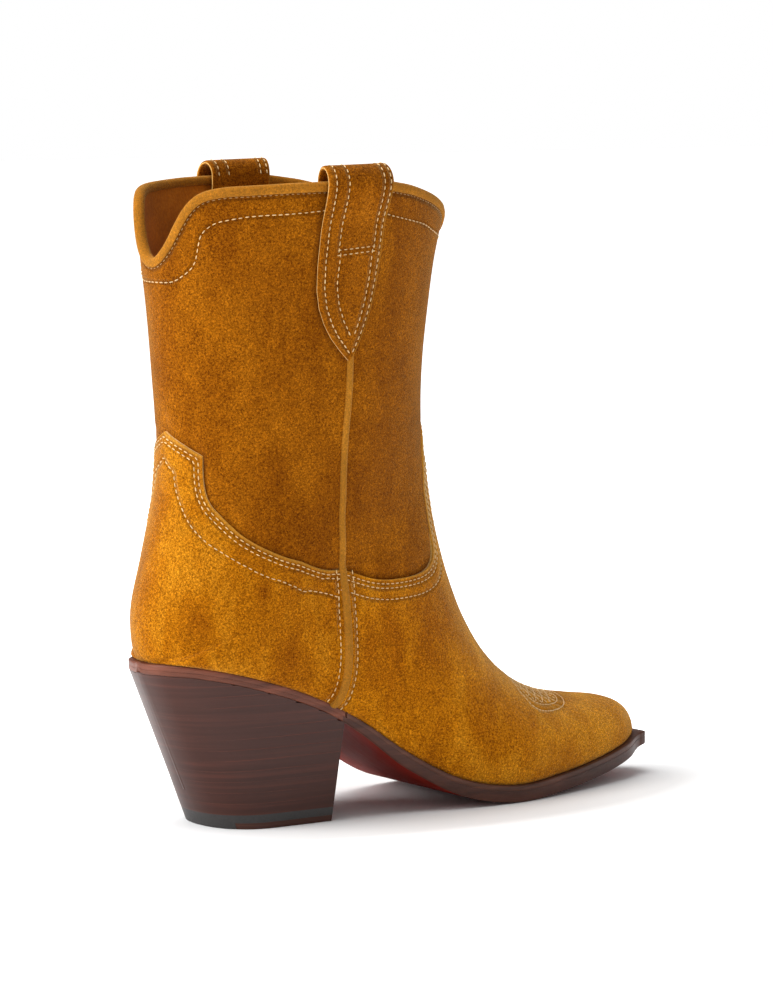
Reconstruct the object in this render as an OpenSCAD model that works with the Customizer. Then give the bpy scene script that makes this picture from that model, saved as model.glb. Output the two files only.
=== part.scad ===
// Western boot with a stacked heel, right foot. Millimetres.
// +X toe, -Y outer (little-toe) side, +Z up, the heel top piece and the ball of the sole stand on z = 0.

/* [Boot] */
// Length of the sole, back of the seat to the toe tip
boot_length = 264; // [250:1:280]
// Height of the upper at the back of the seat
seat_height = 70; // [64:1:76]
// Height of the collar on the sides
shaft_top = 264; // [240:1:290]
// Width factor of the whole upper
fullness = 1.0; // [0.94:0.01:1.08]
// How far the toe swings towards the inner side
toe_swing = 5; // [2:0.5:7]

/* [Leather] */
// Thickness of the outer leather
leather = 1.5; // [1.2:0.1:1.8]
// Thickness of the lining leather
lining = 1.1; // [0.8:0.1:1.2]
// Height of the vamp and counter leather above the last surface
proud = 0.3; // [0.1:0.1:0.6]
// Height of the collar binding
binding_height = 3.2; // [3:0.2:5]
// Width of the side piping
piping_width = 4.0; // [3:0.2:5]

/* [Pull straps] */
// Width of a pull strap at the collar
strap_width = 25; // [24:1:32]
// Thickness of a pull strap
strap_thick = 1.9; // [1.6:0.1:2.4]
// Height of the loop above the collar
strap_rise = 9; // [8:0.5:11]

/* [Bottom] */
// Thickness of the welt
welt = 2.4; // [2:0.1:2.6]
// Thickness of the outsole under the ball
outsole = 4.9; // [4.4:0.1:4.9]
// Welt overhang around the forepart
overhang = 3.4; // [2.5:0.1:4]
// Number of leather lifts in the heel
lifts = 13; // [13:1:13]
// Thickness of the rubber top piece
top_piece = 6.0; // [5:0.5:7]

/* [Hidden] */
gap = 0.02;
kx = boot_length / 264;
kh = seat_height / 70;
ks = (shaft_top - 165) / (264 - 165);
// sections of the last, toe to collar:
// bottom or back point x z, top or front point x z, half width at the sole edge, largest half width,
// where along the section the largest half width lies, roundness
LAST = [
    [259.4, 18.4, 258.6, 21.8, 5, 5.6, 0.45, 2.2],
    [257.9, 18.1, 255.9, 27.6, 6.6, 7.8, 0.44, 2.3],
    [253.9, 17, 251.4, 32, 10, 11.8, 0.42, 2.4],
    [244.6, 14.9, 242.8, 35.2, 16, 18.4, 0.4, 2.35],
    [226, 11.9, 227.5, 37.4, 23.2, 26, 0.39, 2.2],
    [200.5, 9, 206, 41.5, 30.4, 33.5, 0.37, 2],
    [172, 7.35, 186, 50.8, 35, 39, 0.34, 1.9],
    [144, 12.4, 171, 65.5, 33.4, 39, 0.34, 1.8],
    [118, 25.6, 161, 82, 29.6, 36.9, 0.36, 1.8],
    [94, 41.5, 154.5, 98, 27.6, 35.4, 0.38, 1.85],
    [68, 54.4, 150.5, 112, 28.2, 34.8, 0.38, 1.9],
    [40, 63.8, 147.8, 124, 27.2, 34.7, 0.38, 1.95],
    [20, 68.6, 146.3, 132.5, 21.6, 34.9, 0.38, 2],
    [10, 69.8, 145.4, 138.5, 12.4, 35.1, 0.38, 2],
    [6.5, 70.2, 144.9, 143, 0, 35.3, 0.38, 2],
    [4.6, 77, 144.2, 147.5, 0, 35.5, 0.39, 2],
    [4.6, 90, 142.8, 154.5, 0, 35.8, 0.41, 2],
    [9.5, 110, 141.6, 165, 0, 36.2, 0.44, 2],
    [15, 135, 140.9, 178.5, 0, 37, 0.47, 2],
    [16.8, 160, 141, 194, 0, 38, 0.49, 2.05],
    [15.2, 186, 142.4, 211, 0, 39.6, 0.5, 2.1],
    [13, 213, 145.2, 230.5, 0, 41.6, 0.5, 2.1],
    [10.1, 239, 148.8, 247.5, 0, 44.2, 0.5, 2.1],
    [8.5, 263, 151.6, 266, 0, 46.4, 0.5, 2.1]
];
N = len(LAST);
// station of the side seam at the sole, of its crossing with the vamp line, and of the back of the seat
T_SIDE = 9.55;
T_CROSS = 12.9;
T_SEAT = 14;
T_TOP = 23;
// girth share of the side seam above the crossing: [station, share]
SEAM = [[12.9, 0.45], [14.5, 0.462], [15.7, 0.45], [16.8, 0.425], [18.05, 0.392], [19.85, 0.372],
    [21.9, 0.376],
    [23, 0.378]];
// pattern lines as [station, girth share], back or seam first
COUNTER_TOP = [[19.15, 0], [19.0, 0.045], [18.85, 0.08], [18.7, 0.11], [18.3, 0.113], [17.9, 0.13],
    [17.55, 0.17],
    [16.95, 0.23], [16.2, 0.305], [15.2, 0.38], [14.0, 0.43], [12.9, 0.45]];
COUNTER_FOOT = [[14, 0], [13.9, 0], [13.7, 0], [13.45, 0], [13.2, 0], [12.9, 0], [12.5, 0], [12.0, 0],
    [11.45, 0],
    [10.85, 0], [10.2, 0], [9.55, 0]];
VAMP_RIM = [[0.45, 12.87], [0.464, 11.8], [0.49, 11.1], [0.55, 10.6], [0.62, 10.25], [0.69, 10.15],
    [0.755, 10.4],
    [0.79, 12.0], [0.81, 14.7], [0.85, 16.5], [0.92, 17.0], [1, 17.1]];
VAMP_FOOT = [[9.55, 0], [8.5, 0], [7.3, 0], [6.0, 0], [4.8, 0], [3.7, 0], [2.7, 0], [1.8, 0], [0.9, 0],
    [0.05, 0.02],
    [0, 0.4], [0, 1]];
// hidden lower edge of the shaft: [share between back and seam, station]
SHAFT_BACK_LOW = [[0, 18.55], [0.3, 17.6], [0.42, 16.9], [0.54, 16.2], [0.7, 15.2], [0.84, 13.9], [1,
    12.6]];
SHAFT_FRONT_LOW = [[0, 12.6], [0.12, 11.0], [0.25, 10.3], [0.4, 9.9], [0.6, 9.7], [1, 9.65]];
// visible line over the shaft: [share, station]
COUNTER_LINE = [[0, 19.15], [0.27, 18.75], [0.3, 18.3], [0.33, 17.9], [0.42, 17.55], [0.54, 16.95],
    [0.7, 16.2],
    [0.84, 15.2], [1, 12.9]];
VAMP_LINE = [[0, 12.9], [0.13, 11.4], [0.24, 10.9], [0.39, 10.45], [0.6, 10.15], [0.64, 10.6], [0.67, 15.0],
    [0.72, 16.6], [1, 17.1]];
// collar edge with the V at the back and at the front: [share, station]
COLLAR_BACK = [[0, 21.78], [0.04, 21.8], [0.08, 21.87], [0.12, 21.98], [0.16, 22.14], [0.2, 22.36],
    [0.235, 22.56],
    [0.27, 22.72], [0.31, 22.84], [0.36, 22.92], [0.44, 22.97], [0.7, 23.01], [1, 23.02]];
COLLAR_FRONT = [[0, 23.02], [0.12, 22.97], [0.25, 22.86], [0.4, 22.67], [0.57, 22.42], [0.68, 22.2],
    [0.78, 21.96],
    [0.87, 21.76], [0.94, 21.66], [1, 21.64]];

function lerp(a, b, f) = a + (b - a) * f;
function clamp01(f) = min(1, max(0, f));
function ease(f) = let (c = clamp01(f)) c * c * (3 - 2 * c);
function unit(v) = v / max(norm(v), 1e-9);
// value of a [key, value] list at key k
function look(list, k, i = 0) =
    i >= len(list) - 2 || k <= list[i + 1][0]
        ? lerp(list[i][1], list[i + 1][1], clamp01((k - list[i][0]) / (list[i + 1][0] - list[i][0])))
        : look(list, k, i + 1);
// point on a polyline of control points, s from 0 to 1
function along(list, s) =
    let (n = len(list) - 1, i = min(floor(s * n), n - 1))
    lerp(list[i], list[i + 1], s * n - i);

function wide_x(x) = x * kx;
function high_z(z) = (z < 70 ? z * kh : z + seat_height - 70) + (z > 165 ? (z - 165) * (ks - 1) : 0);
function swing(x) = toe_swing * ease((x / kx - 80) / 175);
// one section of the last, smooth between the rows of the table
function row(t) =
    let (
        i = min(max(floor(t), 0), N - 2),
        f = t - i,
        a = LAST[i],
        b = LAST[i + 1],
        ma = i > 0 ? (b - LAST[i - 1]) / 2 : b - a,
        mb = i < N - 2 ? (LAST[i + 2] - a) / 2 : b - a,
        f2 = f * f,
        f3 = f2 * f
    )
    (2 * f3 - 3 * f2 + 1) * a + (f3 - 2 * f2 + f) * ma + (3 * f2 - 2 * f3) * b + (f3 - f2) * mb;
// point of the last: station t, girth share g (0 back or sole edge, 1 front ridge, beyond them the inner side)
function skin(t, g) =
    let (
        r = row(t),
        side = g < 0 || g > 1 ? 1 : -1,
        p = g < 0 ? -g : (g > 1 ? 2 - g : g),
        knee = 0.35,
        a = 90 * min(1, p / knee),
        b = 90 * clamp01((p - knee) / (1 - knee)),
        c = max(r[4], 0),
        y = p < knee ? c + (r[5] - c) * sin(a) : r[5] * pow(max(cos(b), 0), 2 / r[7]),
        q = p < knee ? r[6] * (1 - cos(a)) : r[6] + (1 - r[6]) * pow(sin(b), 2 / r[7]),
        x = wide_x(r[0] + q * (r[2] - r[0])),
        z = high_z(r[1] + q * (r[3] - r[1]))
    )
    [x, side * y * fullness + swing(x), z];
function middle(t) =
    let (r = row(t), x = wide_x((r[0] + r[2]) / 2))
    [x, swing(x), high_z((r[1] + r[3]) / 2)];
// outward direction of the last surface; round the seat corner it is taken a little way up the side
function outward(t, g0) =
    let (
        corner = t > 12.2 && t < 14.25 && abs(g0) < 0.07 && abs(g0) > 0,
        g = corner ? sign(g0) * 0.07 : g0,
        foot = t < T_SEAT,
        ga = !foot ? g - 0.02 : (g < 0 ? min(g + 0.02, -1e-6) - 0.04 : (g < 1 ? max(g - 0.02, 0)
            : min(g + 0.02, 2) - 0.04)),
        gb = ga + 0.04,
        ta = foot ? max(t - 0.12, 0) : max(t - 0.12, T_SEAT),
        tb = foot && !corner ? min(t + 0.12, T_SEAT) : t + 0.12,
        n = unit(cross(skin(t, gb) - skin(t, ga), skin(tb, g) - skin(ta, g)))
    )
    n * (skin(t, g) - middle(t)) < 0 ? -n : n;
function raised(t, g, d) = skin(t, g) + outward(t, g) * d;

// closed sheet between an outer and an inner grid of points
module sheet(outer, inner) {
    nu = len(outer);
    nv = len(outer[0]);
    m = nu * nv;
    points = concat([for (c = outer) each c], [for (c = inner) each c]);
    faces = concat(
        [for (i = [0:nu - 2], j = [0:nv - 2]) each [
            [i * nv + j, i * nv + j + 1, (i + 1) * nv + j + 1],
            [i * nv + j, (i + 1) * nv + j + 1, (i + 1) * nv + j],
            [m + i * nv + j, m + (i + 1) * nv + j + 1, m + i * nv + j + 1],
            [m + i * nv + j, m + (i + 1) * nv + j, m + (i + 1) * nv + j + 1]
        ]],
        [for (i = [0:nu - 2]) each [
            [i * nv, (i + 1) * nv, m + (i + 1) * nv],
            [i * nv, m + (i + 1) * nv, m + i * nv],
            [i * nv + nv - 1, m + (i + 1) * nv + nv - 1, (i + 1) * nv + nv - 1],
            [i * nv + nv - 1, m + i * nv + nv - 1, m + (i + 1) * nv + nv - 1]
        ]],
        [for (j = [0:nv - 2]) each [
            [j, m + j + 1, j + 1],
            [j, m + j, m + j + 1],
            [(nu - 1) * nv + j, (nu - 1) * nv + j + 1, m + (nu - 1) * nv + j + 1],
            [(nu - 1) * nv + j, m + (nu - 1) * nv + j + 1, m + (nu - 1) * nv + j]
        ]]
    );
    polyhedron(points, faces);
}
// ring or open strip swept through a list of closed cross sections
module strip(sections, closed = false) {
    n = len(sections);
    k = len(sections[0]);
    last = closed ? n - 1 : n - 2;
    side = [for (i = [0:last], j = [0:k - 1]) each
        let (a = i * k, b = ((i + 1) % n) * k, j2 = (j + 1) % k)
        [[a + j, b + j, b + j2], [a + j, b + j2, a + j2]]];
    fan0 = [for (j = [1:k - 2]) [0, j, j + 1]];
    fan1 = [for (j = [1:k - 2]) [(n - 1) * k, (n - 1) * k + j + 1, (n - 1) * k + j]];
    polyhedron([for (s = sections) each s], closed ? side : concat(side, fan0, fan1));
}
// flat piece of the bottom made of cross rows: each row is [left top, right top, right low, left low]
module slab(rows) {
    strip([for (r = rows) [r[3], r[2], r[1], r[0]]]);
}

// --- panels of the upper -------------------------------------------------------------------------
STEPS = 22;
GROWTH = 3.2;
// path of a foot panel from the sole edge (v = 0) to its top line (v = 1)
function foot_at(low, high, s, v, bend) =
    let (a = along(low, s), b = along(high, s))
    [lerp(a[0], b[0], pow(v, bend)), lerp(a[1], b[1], v)];
function counter_at(s, v, high = COUNTER_TOP) = foot_at(COUNTER_FOOT, high, s, v, lerp(1, GROWTH, s));
function vamp_at(s, v, high) = foot_at(VAMP_FOOT, high, s, v, lerp(GROWTH, 1, s));
// both halves of a panel that crosses the back or the front of the boot
function counter_grid(d, cols, rows, high, edge = 1, v0 = 0) =
    [for (i = [-cols:cols]) [for (j = [0:rows])
        let (s = edge * abs(i) / cols, p = counter_at(s, lerp(v0, 1, j / rows), high))
        raised(p[0], (i < 0 ? -1 : 1) * max(p[1], i == 0 ? 0 : 1e-6), d)]];
function vamp_grid(d, cols, rows, high, first = 0, v0 = 0, v1 = 1) =
    [for (i = [-cols:cols]) [for (j = [0:rows])
        let (s = lerp(1, first, abs(i) / cols), p = vamp_at(s, lerp(v0, v1, pow(j / rows, 1.25)), high))
        raised(p[0], i > 0 ? 2 - p[1] : p[1], d)]];
// the vamp itself: each girth share has a run of stations from the toe to its seam or top line
VAMP_COLUMNS = [0, 0.05, 0.13, 0.22, 0.32, 0.4, 0.45, 0.457, 0.464, 0.477, 0.49, 0.52, 0.55, 0.62,
    0.69, 0.722, 0.755,
    0.772, 0.79, 0.8, 0.81, 0.83, 0.85, 0.92, 0.96, 1];
function vamp_end(g) = g < 0.4499 ? T_SIDE + (T_CROSS - T_SIDE) * pow(g / 0.45, GROWTH) - 0.03
    : look(VAMP_RIM, g);
function vamp_station(g, v) = let (e = vamp_end(g), b = 0.93 * min(e, 10.1))
    v < 0.5 ? b * pow(2 * v, 1.25) : lerp(b, e, 2 * v - 1);
function vamp_shell(d) =
    let (n = len(VAMP_COLUMNS) - 1)
    [for (i = [-n:n]) let (g = VAMP_COLUMNS[n - abs(i)]) [for (j = [0:16])
        raised(vamp_station(g, j / 16), i > 0 ? 2 - g : g, d)]];
// girth share of the side seam at any station
function seam_share(t) = t >= T_CROSS ? look(SEAM, t)
    : 0.45 * pow(clamp01((t - T_SIDE) / (T_CROSS - T_SIDE)), 1 / GROWTH);
// depth by which shaft and lining sink under the counter and the vamp
function sink(t, line, share) = (leather - proud + gap) * ease(1 + (look(line, share) - t) / 0.45);
function back_point(share, t, d) =
    let (g = share * seam_share(t))
    raised(t, g, d - sink(t, COUNTER_LINE, abs(share)));
function front_point(share, t, d) =
    let (gs = seam_share(t), g = abs(share) * (1 - gs) + gs)
    raised(t, share < 0 ? g : 2 - g, d - sink(t, VAMP_LINE, 1 - abs(1 - abs(share))));
EDGE = 0.997;
function shaft_back_grid(d, cols, rows, low, high) =
    [for (i = [-cols:cols]) [for (j = [0:rows])
        let (s = EDGE * i / cols, a = abs(s))
        back_point(-s, lerp(look(low, a), look(high, a) - 0.05, j / rows), d)]];
function shaft_front_grid(d, cols, rows, low, high) =
    [for (i = [-cols:cols]) [for (j = [0:rows])
        let (a = 1 - EDGE * abs(i) / cols, t = lerp(look(low, a), look(high, a) - 0.05, j / rows))
        front_point(i < 0 ? -a : a, t, d)]];

module counter_foxing() {
    color([0.72, 0.45, 0.10])
    sheet(counter_grid(proud, 22, 13, COUNTER_TOP, EDGE), counter_grid(proud - leather, 22, 13,
        COUNTER_TOP, EDGE));
}
module vamp() {
    color([0.70, 0.43, 0.10])
    sheet(vamp_shell(proud), vamp_shell(proud - leather));
}
module shaft_back() {
    color([0.68, 0.41, 0.09])
    sheet(shaft_back_grid(0, 15, 17, SHAFT_BACK_LOW, COLLAR_BACK),
        shaft_back_grid(-leather, 15, 17, SHAFT_BACK_LOW, COLLAR_BACK));
}
module shaft_front() {
    color([0.66, 0.40, 0.09])
    sheet(shaft_front_grid(0, 14, 19, SHAFT_FRONT_LOW, COLLAR_FRONT),
        shaft_front_grid(-leather, 14, 19, SHAFT_FRONT_LOW, COLLAR_FRONT));
}
module shaft_lining_back() {
    d = -leather - gap;
    color([0.45, 0.24, 0.08])
    sheet(shaft_back_grid(d, 12, 12, SHAFT_BACK_LOW, COLLAR_BACK),
        shaft_back_grid(d - lining, 12, 12, SHAFT_BACK_LOW, COLLAR_BACK));
}
module shaft_lining_front() {
    d = -leather - gap;
    color([0.45, 0.24, 0.08])
    sheet(shaft_front_grid(d, 11, 13, SHAFT_FRONT_LOW, COLLAR_FRONT),
        shaft_front_grid(d - lining, 11, 13, SHAFT_FRONT_LOW, COLLAR_FRONT));
}
// top lines of the foot pieces that lie under the shaft, one step below its hidden edge
function low_back(drop) = [for (k = [0:11]) let (s = k / 11, t = look(SHAFT_BACK_LOW, s) - drop)
    [t, s * seam_share(t)]];
function low_front(drop) = [for (k = [0:11]) let (s = k / 11, t = look(SHAFT_FRONT_LOW, s) - drop,
    gs = seam_share(t))
    [t, gs + s * (1 - gs)]];
module heel_stiffener() {
    d = proud - leather - gap;
    color([0.80, 0.72, 0.56])
    sheet(counter_grid(d, 11, 8, low_back(0.35), 0.8, 0.04), counter_grid(d - leather + gap, 11, 8,
        low_back(0.35), 0.8, 0.04));
}
module heel_lining() {
    d = proud - 2 * leather - gap;
    color([0.50, 0.28, 0.10])
    sheet(counter_grid(d, 13, 9, low_back(0.06), EDGE), counter_grid(d - lining, 13, 9, low_back(0.06),
        EDGE));
}
module vamp_lining() {
    d = proud - 2 * leather - gap;
    color([0.50, 0.28, 0.10])
    sheet(vamp_grid(d, 18, 11, low_front(0.06), 1 - EDGE, 0.02), vamp_grid(d - lining, 18, 11,
        low_front(0.06), 1 - EDGE, 0.02));
}
// stiff cap over the toes between vamp and lining
function puff_grid(d) = [for (i = [0:16]) [for (j = [0:6]) raised(lerp(0.35, 3.9, j / 6), lerp(0.06,
    1.94, i / 16), d)]];
module toe_puff() {
    d = proud - leather - gap;
    color([0.82, 0.74, 0.58])
    sheet(puff_grid(d), puff_grid(d - leather + 2 * gap));
}

// --- trims of the upper --------------------------------------------------------------------------
// point on the boot of either side: side -1 outer, +1 inner
function sided(p, side) = side < 0 ? p : [p[0], 2 * swing(p[0]) - p[1], p[2]];
function turned(v, side) = side < 0 ? v : [v[0], -v[1], v[2]];
// station and girth share along the side seam from the sole (0) to the strap tip (2)
function seam_at(s) = s <= 1 ? counter_at(1, s) : let (t = lerp(T_CROSS, 19.7, s - 1)) [t, look(SEAM, t)];
function seam_lift(t) = proud * (1 - ease((t - T_CROSS) / 0.5)) + gap;
module side_piping(side) {
    n = 36;
    frames = [for (i = [0:n]) let (
        s = 2 * i / n,
        p = seam_at(s),
        q = seam_at(min(s + 0.02, 2)),
        o = seam_at(max(s - 0.02, 0)),
        at = raised(p[0], p[1], seam_lift(p[0])),
        run = unit(skin(q[0], q[1]) - skin(o[0], o[1])),
        up = outward(p[0], p[1])
    ) [at, unit(cross(up, run)), up]];
    hw = piping_width / 2;
    profile = [[-hw, 0], [hw, 0], [hw, 0.45], [hw * 0.5, 1.0], [-hw * 0.5, 1.0], [-hw, 0.45]];
    sections = [for (f = frames) [for (c = profile) sided(f[0] + f[1] * c[0] + f[2] * c[1], side)]];
    color([0.70, 0.44, 0.10])
    strip(side < 0 ? [for (k = sections) [for (j = [5:-1:0]) k[j]]] : sections);
}
STRAP_SHARE = 0.378;
STRAP_HALF = [[19.72, 0.06], [19.95, 0.26], [20.2, 0.5], [20.45, 0.69], [20.75, 0.86], [21.1, 0.95],
    [21.6, 0.99], [23.1, 1]];
// point of a pull strap: station, place across (-1 to 1), height over the shaft
function strap_point(t, across, d, half) =
    let (
        per = norm(skin(t, STRAP_SHARE + 0.01) - skin(t, STRAP_SHARE - 0.01)) / 0.02,
        g = STRAP_SHARE + across * half / per
    )
    raised(t, g, d);
// height of the strap over the shaft: it climbs on to the collar binding near the top
function strap_base(t) = gap + 3 * ease((t - 22.1) / 0.9);
module pull_strap(side) {
    half = strap_width / 2;
    inner_d = -leather - lining - 0.9;
    top = 23.02;
    bow = 1.6;
    outer_leg = [for (i = [0:12]) let (t = lerp(19.72, top, i / 12)) [t, strap_base(t),
        strap_base(t) + strap_thick, 0, 0]];
    mid_d = (strap_base(top) + inner_d - bow) / 2;
    r_in = (strap_base(top) - inner_d + bow) / 2;
    loop = [for (i = [1:9]) let (a = 180 * i / 10) [top, mid_d + r_in * cos(a),
        mid_d + (r_in + strap_thick) * cos(a),
        (strap_rise - strap_thick) * sin(a), strap_rise * sin(a)]];
    inner_leg = [for (i = [0:5]) let (t = lerp(top, 21.6, i / 5),
        d = inner_d - bow * (1 - ease((top - t) / 0.9)))
        [t, d, d - strap_thick, 0, 0]];
    path = concat(outer_leg, loop, inner_leg);
    function place(k, j, over) =
        let (
            p = path[k],
            w = k <= 12 ? look(STRAP_HALF, p[0]) : 1,
            base = strap_point(p[0], j, over ? p[2] : p[1], half * w)
        )
        sided(base + [0, 0, over ? p[4] : p[3]], side);
    outer = [for (k = [0:len(path) - 1]) [for (j = [-3:3]) place(k, j / 3, true)]];
    inner = [for (k = [0:len(path) - 1]) [for (j = [-3:3]) place(k, j / 3, false)]];
    color([0.70, 0.43, 0.10])
    if (side < 0) sheet(inner, outer); else sheet(outer, inner);
}
// collar edge all round, a from 0 to 4: back to outer seam, to the front, to the inner seam, to the back
function collar_at(a) =
    let (
        b = a <= 2 ? a : 4 - a,
        t = b <= 1 ? look(COLLAR_BACK, b) : look(COLLAR_FRONT, b - 1),
        gs = seam_share(t),
        g = b <= 1 ? b * gs : gs + (b - 1) * (1 - gs)
    )
    [t, a <= 2 ? g : (b <= 1 ? -g : 2 - g)];
module collar_binding() {
    n = 92;
    h = binding_height;
    inside = -leather - lining - 3 * gap;
    profile = [[0.75, -h], [0.75, 0.3], [0.1, 0.75], [inside - 0.1, 0.75], [inside - 0.75, 0.3],
        [inside - 0.75, -h],
        [inside, -h], [inside, 0], [gap, 0], [gap, -h]];
    sections = [for (i = [0:n - 1]) let (
        a = 4 * i / n,
        p = collar_at(a),
        q = collar_at((a + 0.03) % 4),
        o = collar_at((a + 3.97) % 4),
        at = skin(p[0], p[1]),
        out = outward(p[0], p[1]),
        run = unit(skin(q[0], q[1]) - skin(o[0], o[1])),
        up0 = unit(cross(run, out)),
        up = up0[2] < 0 ? -up0 : up0
    ) [for (c = profile) at + out * c[0] + up * c[1]]];
    color([0.74, 0.47, 0.12])
    strip(sections, closed = true);
}

// --- bottom of the boot --------------------------------------------------------------------------
// corner of a bottom piece at station t: e beyond the sole edge, dz below it, on either side
function foot_edge(t, e, dz, side) =
    let (
        a = row(max(t - 0.05, 0)),
        b = row(min(t + 0.05, T_SEAT)),
        m = row(t),
        n = unit([b[4] - a[4], a[0] - b[0]]),
        x = wide_x(m[0]) + e * n[0],
        y = max(m[4] * fullness + e * n[1], 0.5)
    )
    [x, side * y + swing(wide_x(m[0])), high_z(m[1]) - dz];
function bottom_row(t, e, top, low) = [foot_edge(t, e, top, -1), foot_edge(t, e, top, 1), foot_edge(t,
    e, low, 1),
    foot_edge(t, e, low, -1)];
// straight row of a fixed half width
function bar_row(t, half, top, low) =
    let (m = row(t), x = wide_x(m[0]), y = swing(x), z = high_z(m[1]))
    [[x, y - half, z - top], [x, y + half, z - top], [x, y + half, z - low], [x, y - half, z - low]];
T_BREAST = 9.32;
// overhang of the sole edge: widest at the toe, drawn in at the waist, wider again round the back of the seat
function ledge(t) = lerp(lerp(overhang, 2.2, ease((t - 6.5) / 2)), 1.4, ease((t - 8.6) / 1.2))
    + 2.8 * (1 - ease(t / 2)) + 1.9 * ease((t - 11.2) / 2.4);
SEAT_EDGE = [13.98, 13.9, 13.75, 13.5, 13.2, 12.8, 12.3, 11.7, 11.1, 10.4];
module insole() {
    inset = -(leather * 2 - proud + lining + 0.3);
    color([0.78, 0.62, 0.42])
    slab([for (t = [13.7, 13.4, 13, 12.5, 12, 11, 10, 9, 8, 7, 6, 5, 4, 3, 2.2, 1.6]) bottom_row(t,
        inset, -2.4, 0)]);
}
module sock_lining() {
    inset = -(leather * 2 - proud + lining + 0.7);
    color([0.62, 0.40, 0.20])
    slab([for (t = [13.6, 13.3, 12.9, 12.4, 12, 11, 10, 9, 8, 7, 6, 5, 4, 3, 2.3, 1.9]) bottom_row(t,
        inset, -3.6, -2.4 - gap)]);
}
module ribbon(edge, inner) {
    low = welt;
    half = [for (t = edge) [foot_edge(t, ledge(t), 0, -1), foot_edge(t, ledge(t), low, -1),
        foot_edge(t, -inner, low, -1), foot_edge(t, -inner, 0, -1)]];
    other = [for (i = [len(edge) - 1:-1:0]) let (t = edge[i]) [foot_edge(t, ledge(t), 0, 1),
        foot_edge(t, ledge(t), low, 1), foot_edge(t, -inner, low, 1), foot_edge(t, -inner, 0, 1)]];
    strip(concat(half, other));
}
module welt_strip() {
    color([0.30, 0.11, 0.07])
    ribbon([for (t = [T_BREAST - 0.03, 8.8, 8.2, 7.6, 7, 6.3, 5.6, 4.8, 4, 3.3, 2.6, 2, 1.5, 1,
        0.5, 0]) t], 8);
}
module heel_rand() {
    color([0.42, 0.19, 0.11])
    ribbon(concat([T_BREAST, 9.85], [for (i = [len(SEAT_EDGE) - 1:-1:0]) SEAT_EDGE[i]]), 8);
}
module forepart_filler() {
    color([0.55, 0.42, 0.28])
    slab([for (t = [7.4, 7, 6.4, 5.8, 5.2, 4.6, 4, 3.4, 2.8]) bottom_row(t, -8.6, 0.05, welt)]);
}
module shank() {
    color([0.62, 0.63, 0.65])
    slab([for (t = [12.4, 12, 11.5, 11, 10.5, 10, 9.5, 9, 8.5, 8, 7.6]) bar_row(t, 6, 0.3, 1.5)]);
}
function sole_depth(t) = lerp(lerp(outsole - 1.3, outsole, ease(t / 4)), 2.0, ease((t - 8.0) / 1.7));
module outsole_board() {
    color([0.36, 0.10, 0.07])
    slab([for (t = concat(SEAT_EDGE, [9.9, 9.5, 9.1, 8.7, 8.3, 7.9, 7.5, 7, 6.5, 6, 5.5, 5, 4.5, 4,
        3.5, 3, 2.5, 2, 1.5, 1, 0.5, 0]))
        bottom_row(t, ledge(t), welt + gap, welt + gap + sole_depth(t))]);
}
// heel block between the seat and the ground, u from the back (0) to the breast (1)
SEAT_DEPTH = welt + 2.0 + 2 * gap;
function seat_station(u) = lerp(13.98, T_BREAST, pow(u, 1.55));
function heel_top(u, side) = let (t = seat_station(u))
    foot_edge(t, 1.2 + 1.8 * ease((t - 11.2) / 2.4), SEAT_DEPTH, side);
HEEL_BACK = 32;
HEEL_FRONT = 81.5;
function heel_foot(u, side) =
    let (
        a = heel_top(0, side)[0],
        b = heel_top(1, side)[0],
        f = (heel_top(u, side)[0] - a) / (b - a),
        x = lerp(HEEL_BACK, HEEL_FRONT, f),
        y = 24.6 * pow(1 - pow(1 - min(1, (x - HEEL_BACK) / 21), 2.2), 1 / 2.2) + 0.9 * f
    )
    [wide_x(x), side * max(y, 0.5), 0];
function heel_point(u, z, side) = let (a = heel_foot(u, side), b = heel_top(u, side)) lerp(a, b, z / b[2]);
// how far forward the block reaches at height z
function reach(z, lo = 0, hi = 1, n = 14) =
    heel_top(1, 1)[2] >= z ? 1 : (n == 0 ? lo : let (m = (lo + hi) / 2)
        (heel_top(m, 1)[2] > z ? reach(z, m, hi, n - 1) : reach(z, lo, m, n - 1)));
function heel_rows(z0, z1, first = 0) =
    let (last = reach(z0 + 0.35))
    [for (i = [0:18]) let (
        u = lerp(first, last, pow(i / 18, 1.3)),
        top = min(z1, heel_top(u, 1)[2])
    ) [heel_point(u, top, -1), heel_point(u, top, 1), heel_point(u, z0, 1), heel_point(u, z0, -1)]];
LIFT = (heel_top(0, 1)[2] - top_piece) / lifts;
module heel_lift(k) {
    color(k % 2 == 0 ? [0.30, 0.13, 0.09] : [0.26, 0.11, 0.08])
    slab(heel_rows(top_piece + LIFT * (k - 1) + gap, top_piece + LIFT * k));
}
// leather piece let into the front corner of the top piece
INSERT = 2.6;
module top_piece_rubber() {
    color([0.09, 0.08, 0.08])
    union() {
        slab(heel_rows(INSERT, top_piece));
        slab([for (i = [0:14]) let (u = lerp(0, 0.60, pow(i / 14, 1.3)))
            [heel_point(u, INSERT, -1), heel_point(u, INSERT, 1), heel_point(u, 0, 1), heel_point(u, 0,
                -1)]]);
    }
}
module top_piece_leather() {
    color([0.35, 0.17, 0.10])
    slab([for (i = [0:6]) let (u = lerp(0.604, 1, i / 6))
        [heel_point(u, INSERT - gap, -1), heel_point(u, INSERT - gap, 1), heel_point(u, 0, 1),
            heel_point(u, 0, -1)]]);
}

// the row's frame: origin on the ground, midway along the sole
CENTRE_X = (min(skin(15.5, 0)[0] - proud, foot_edge(13.98, ledge(13.98), 0, 1)[0])
    + foot_edge(0, ledge(0), 0, 1)[0]) / 2;
module placed() {
    translate([-CENTRE_X, 0, 0]) children();
}

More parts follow.
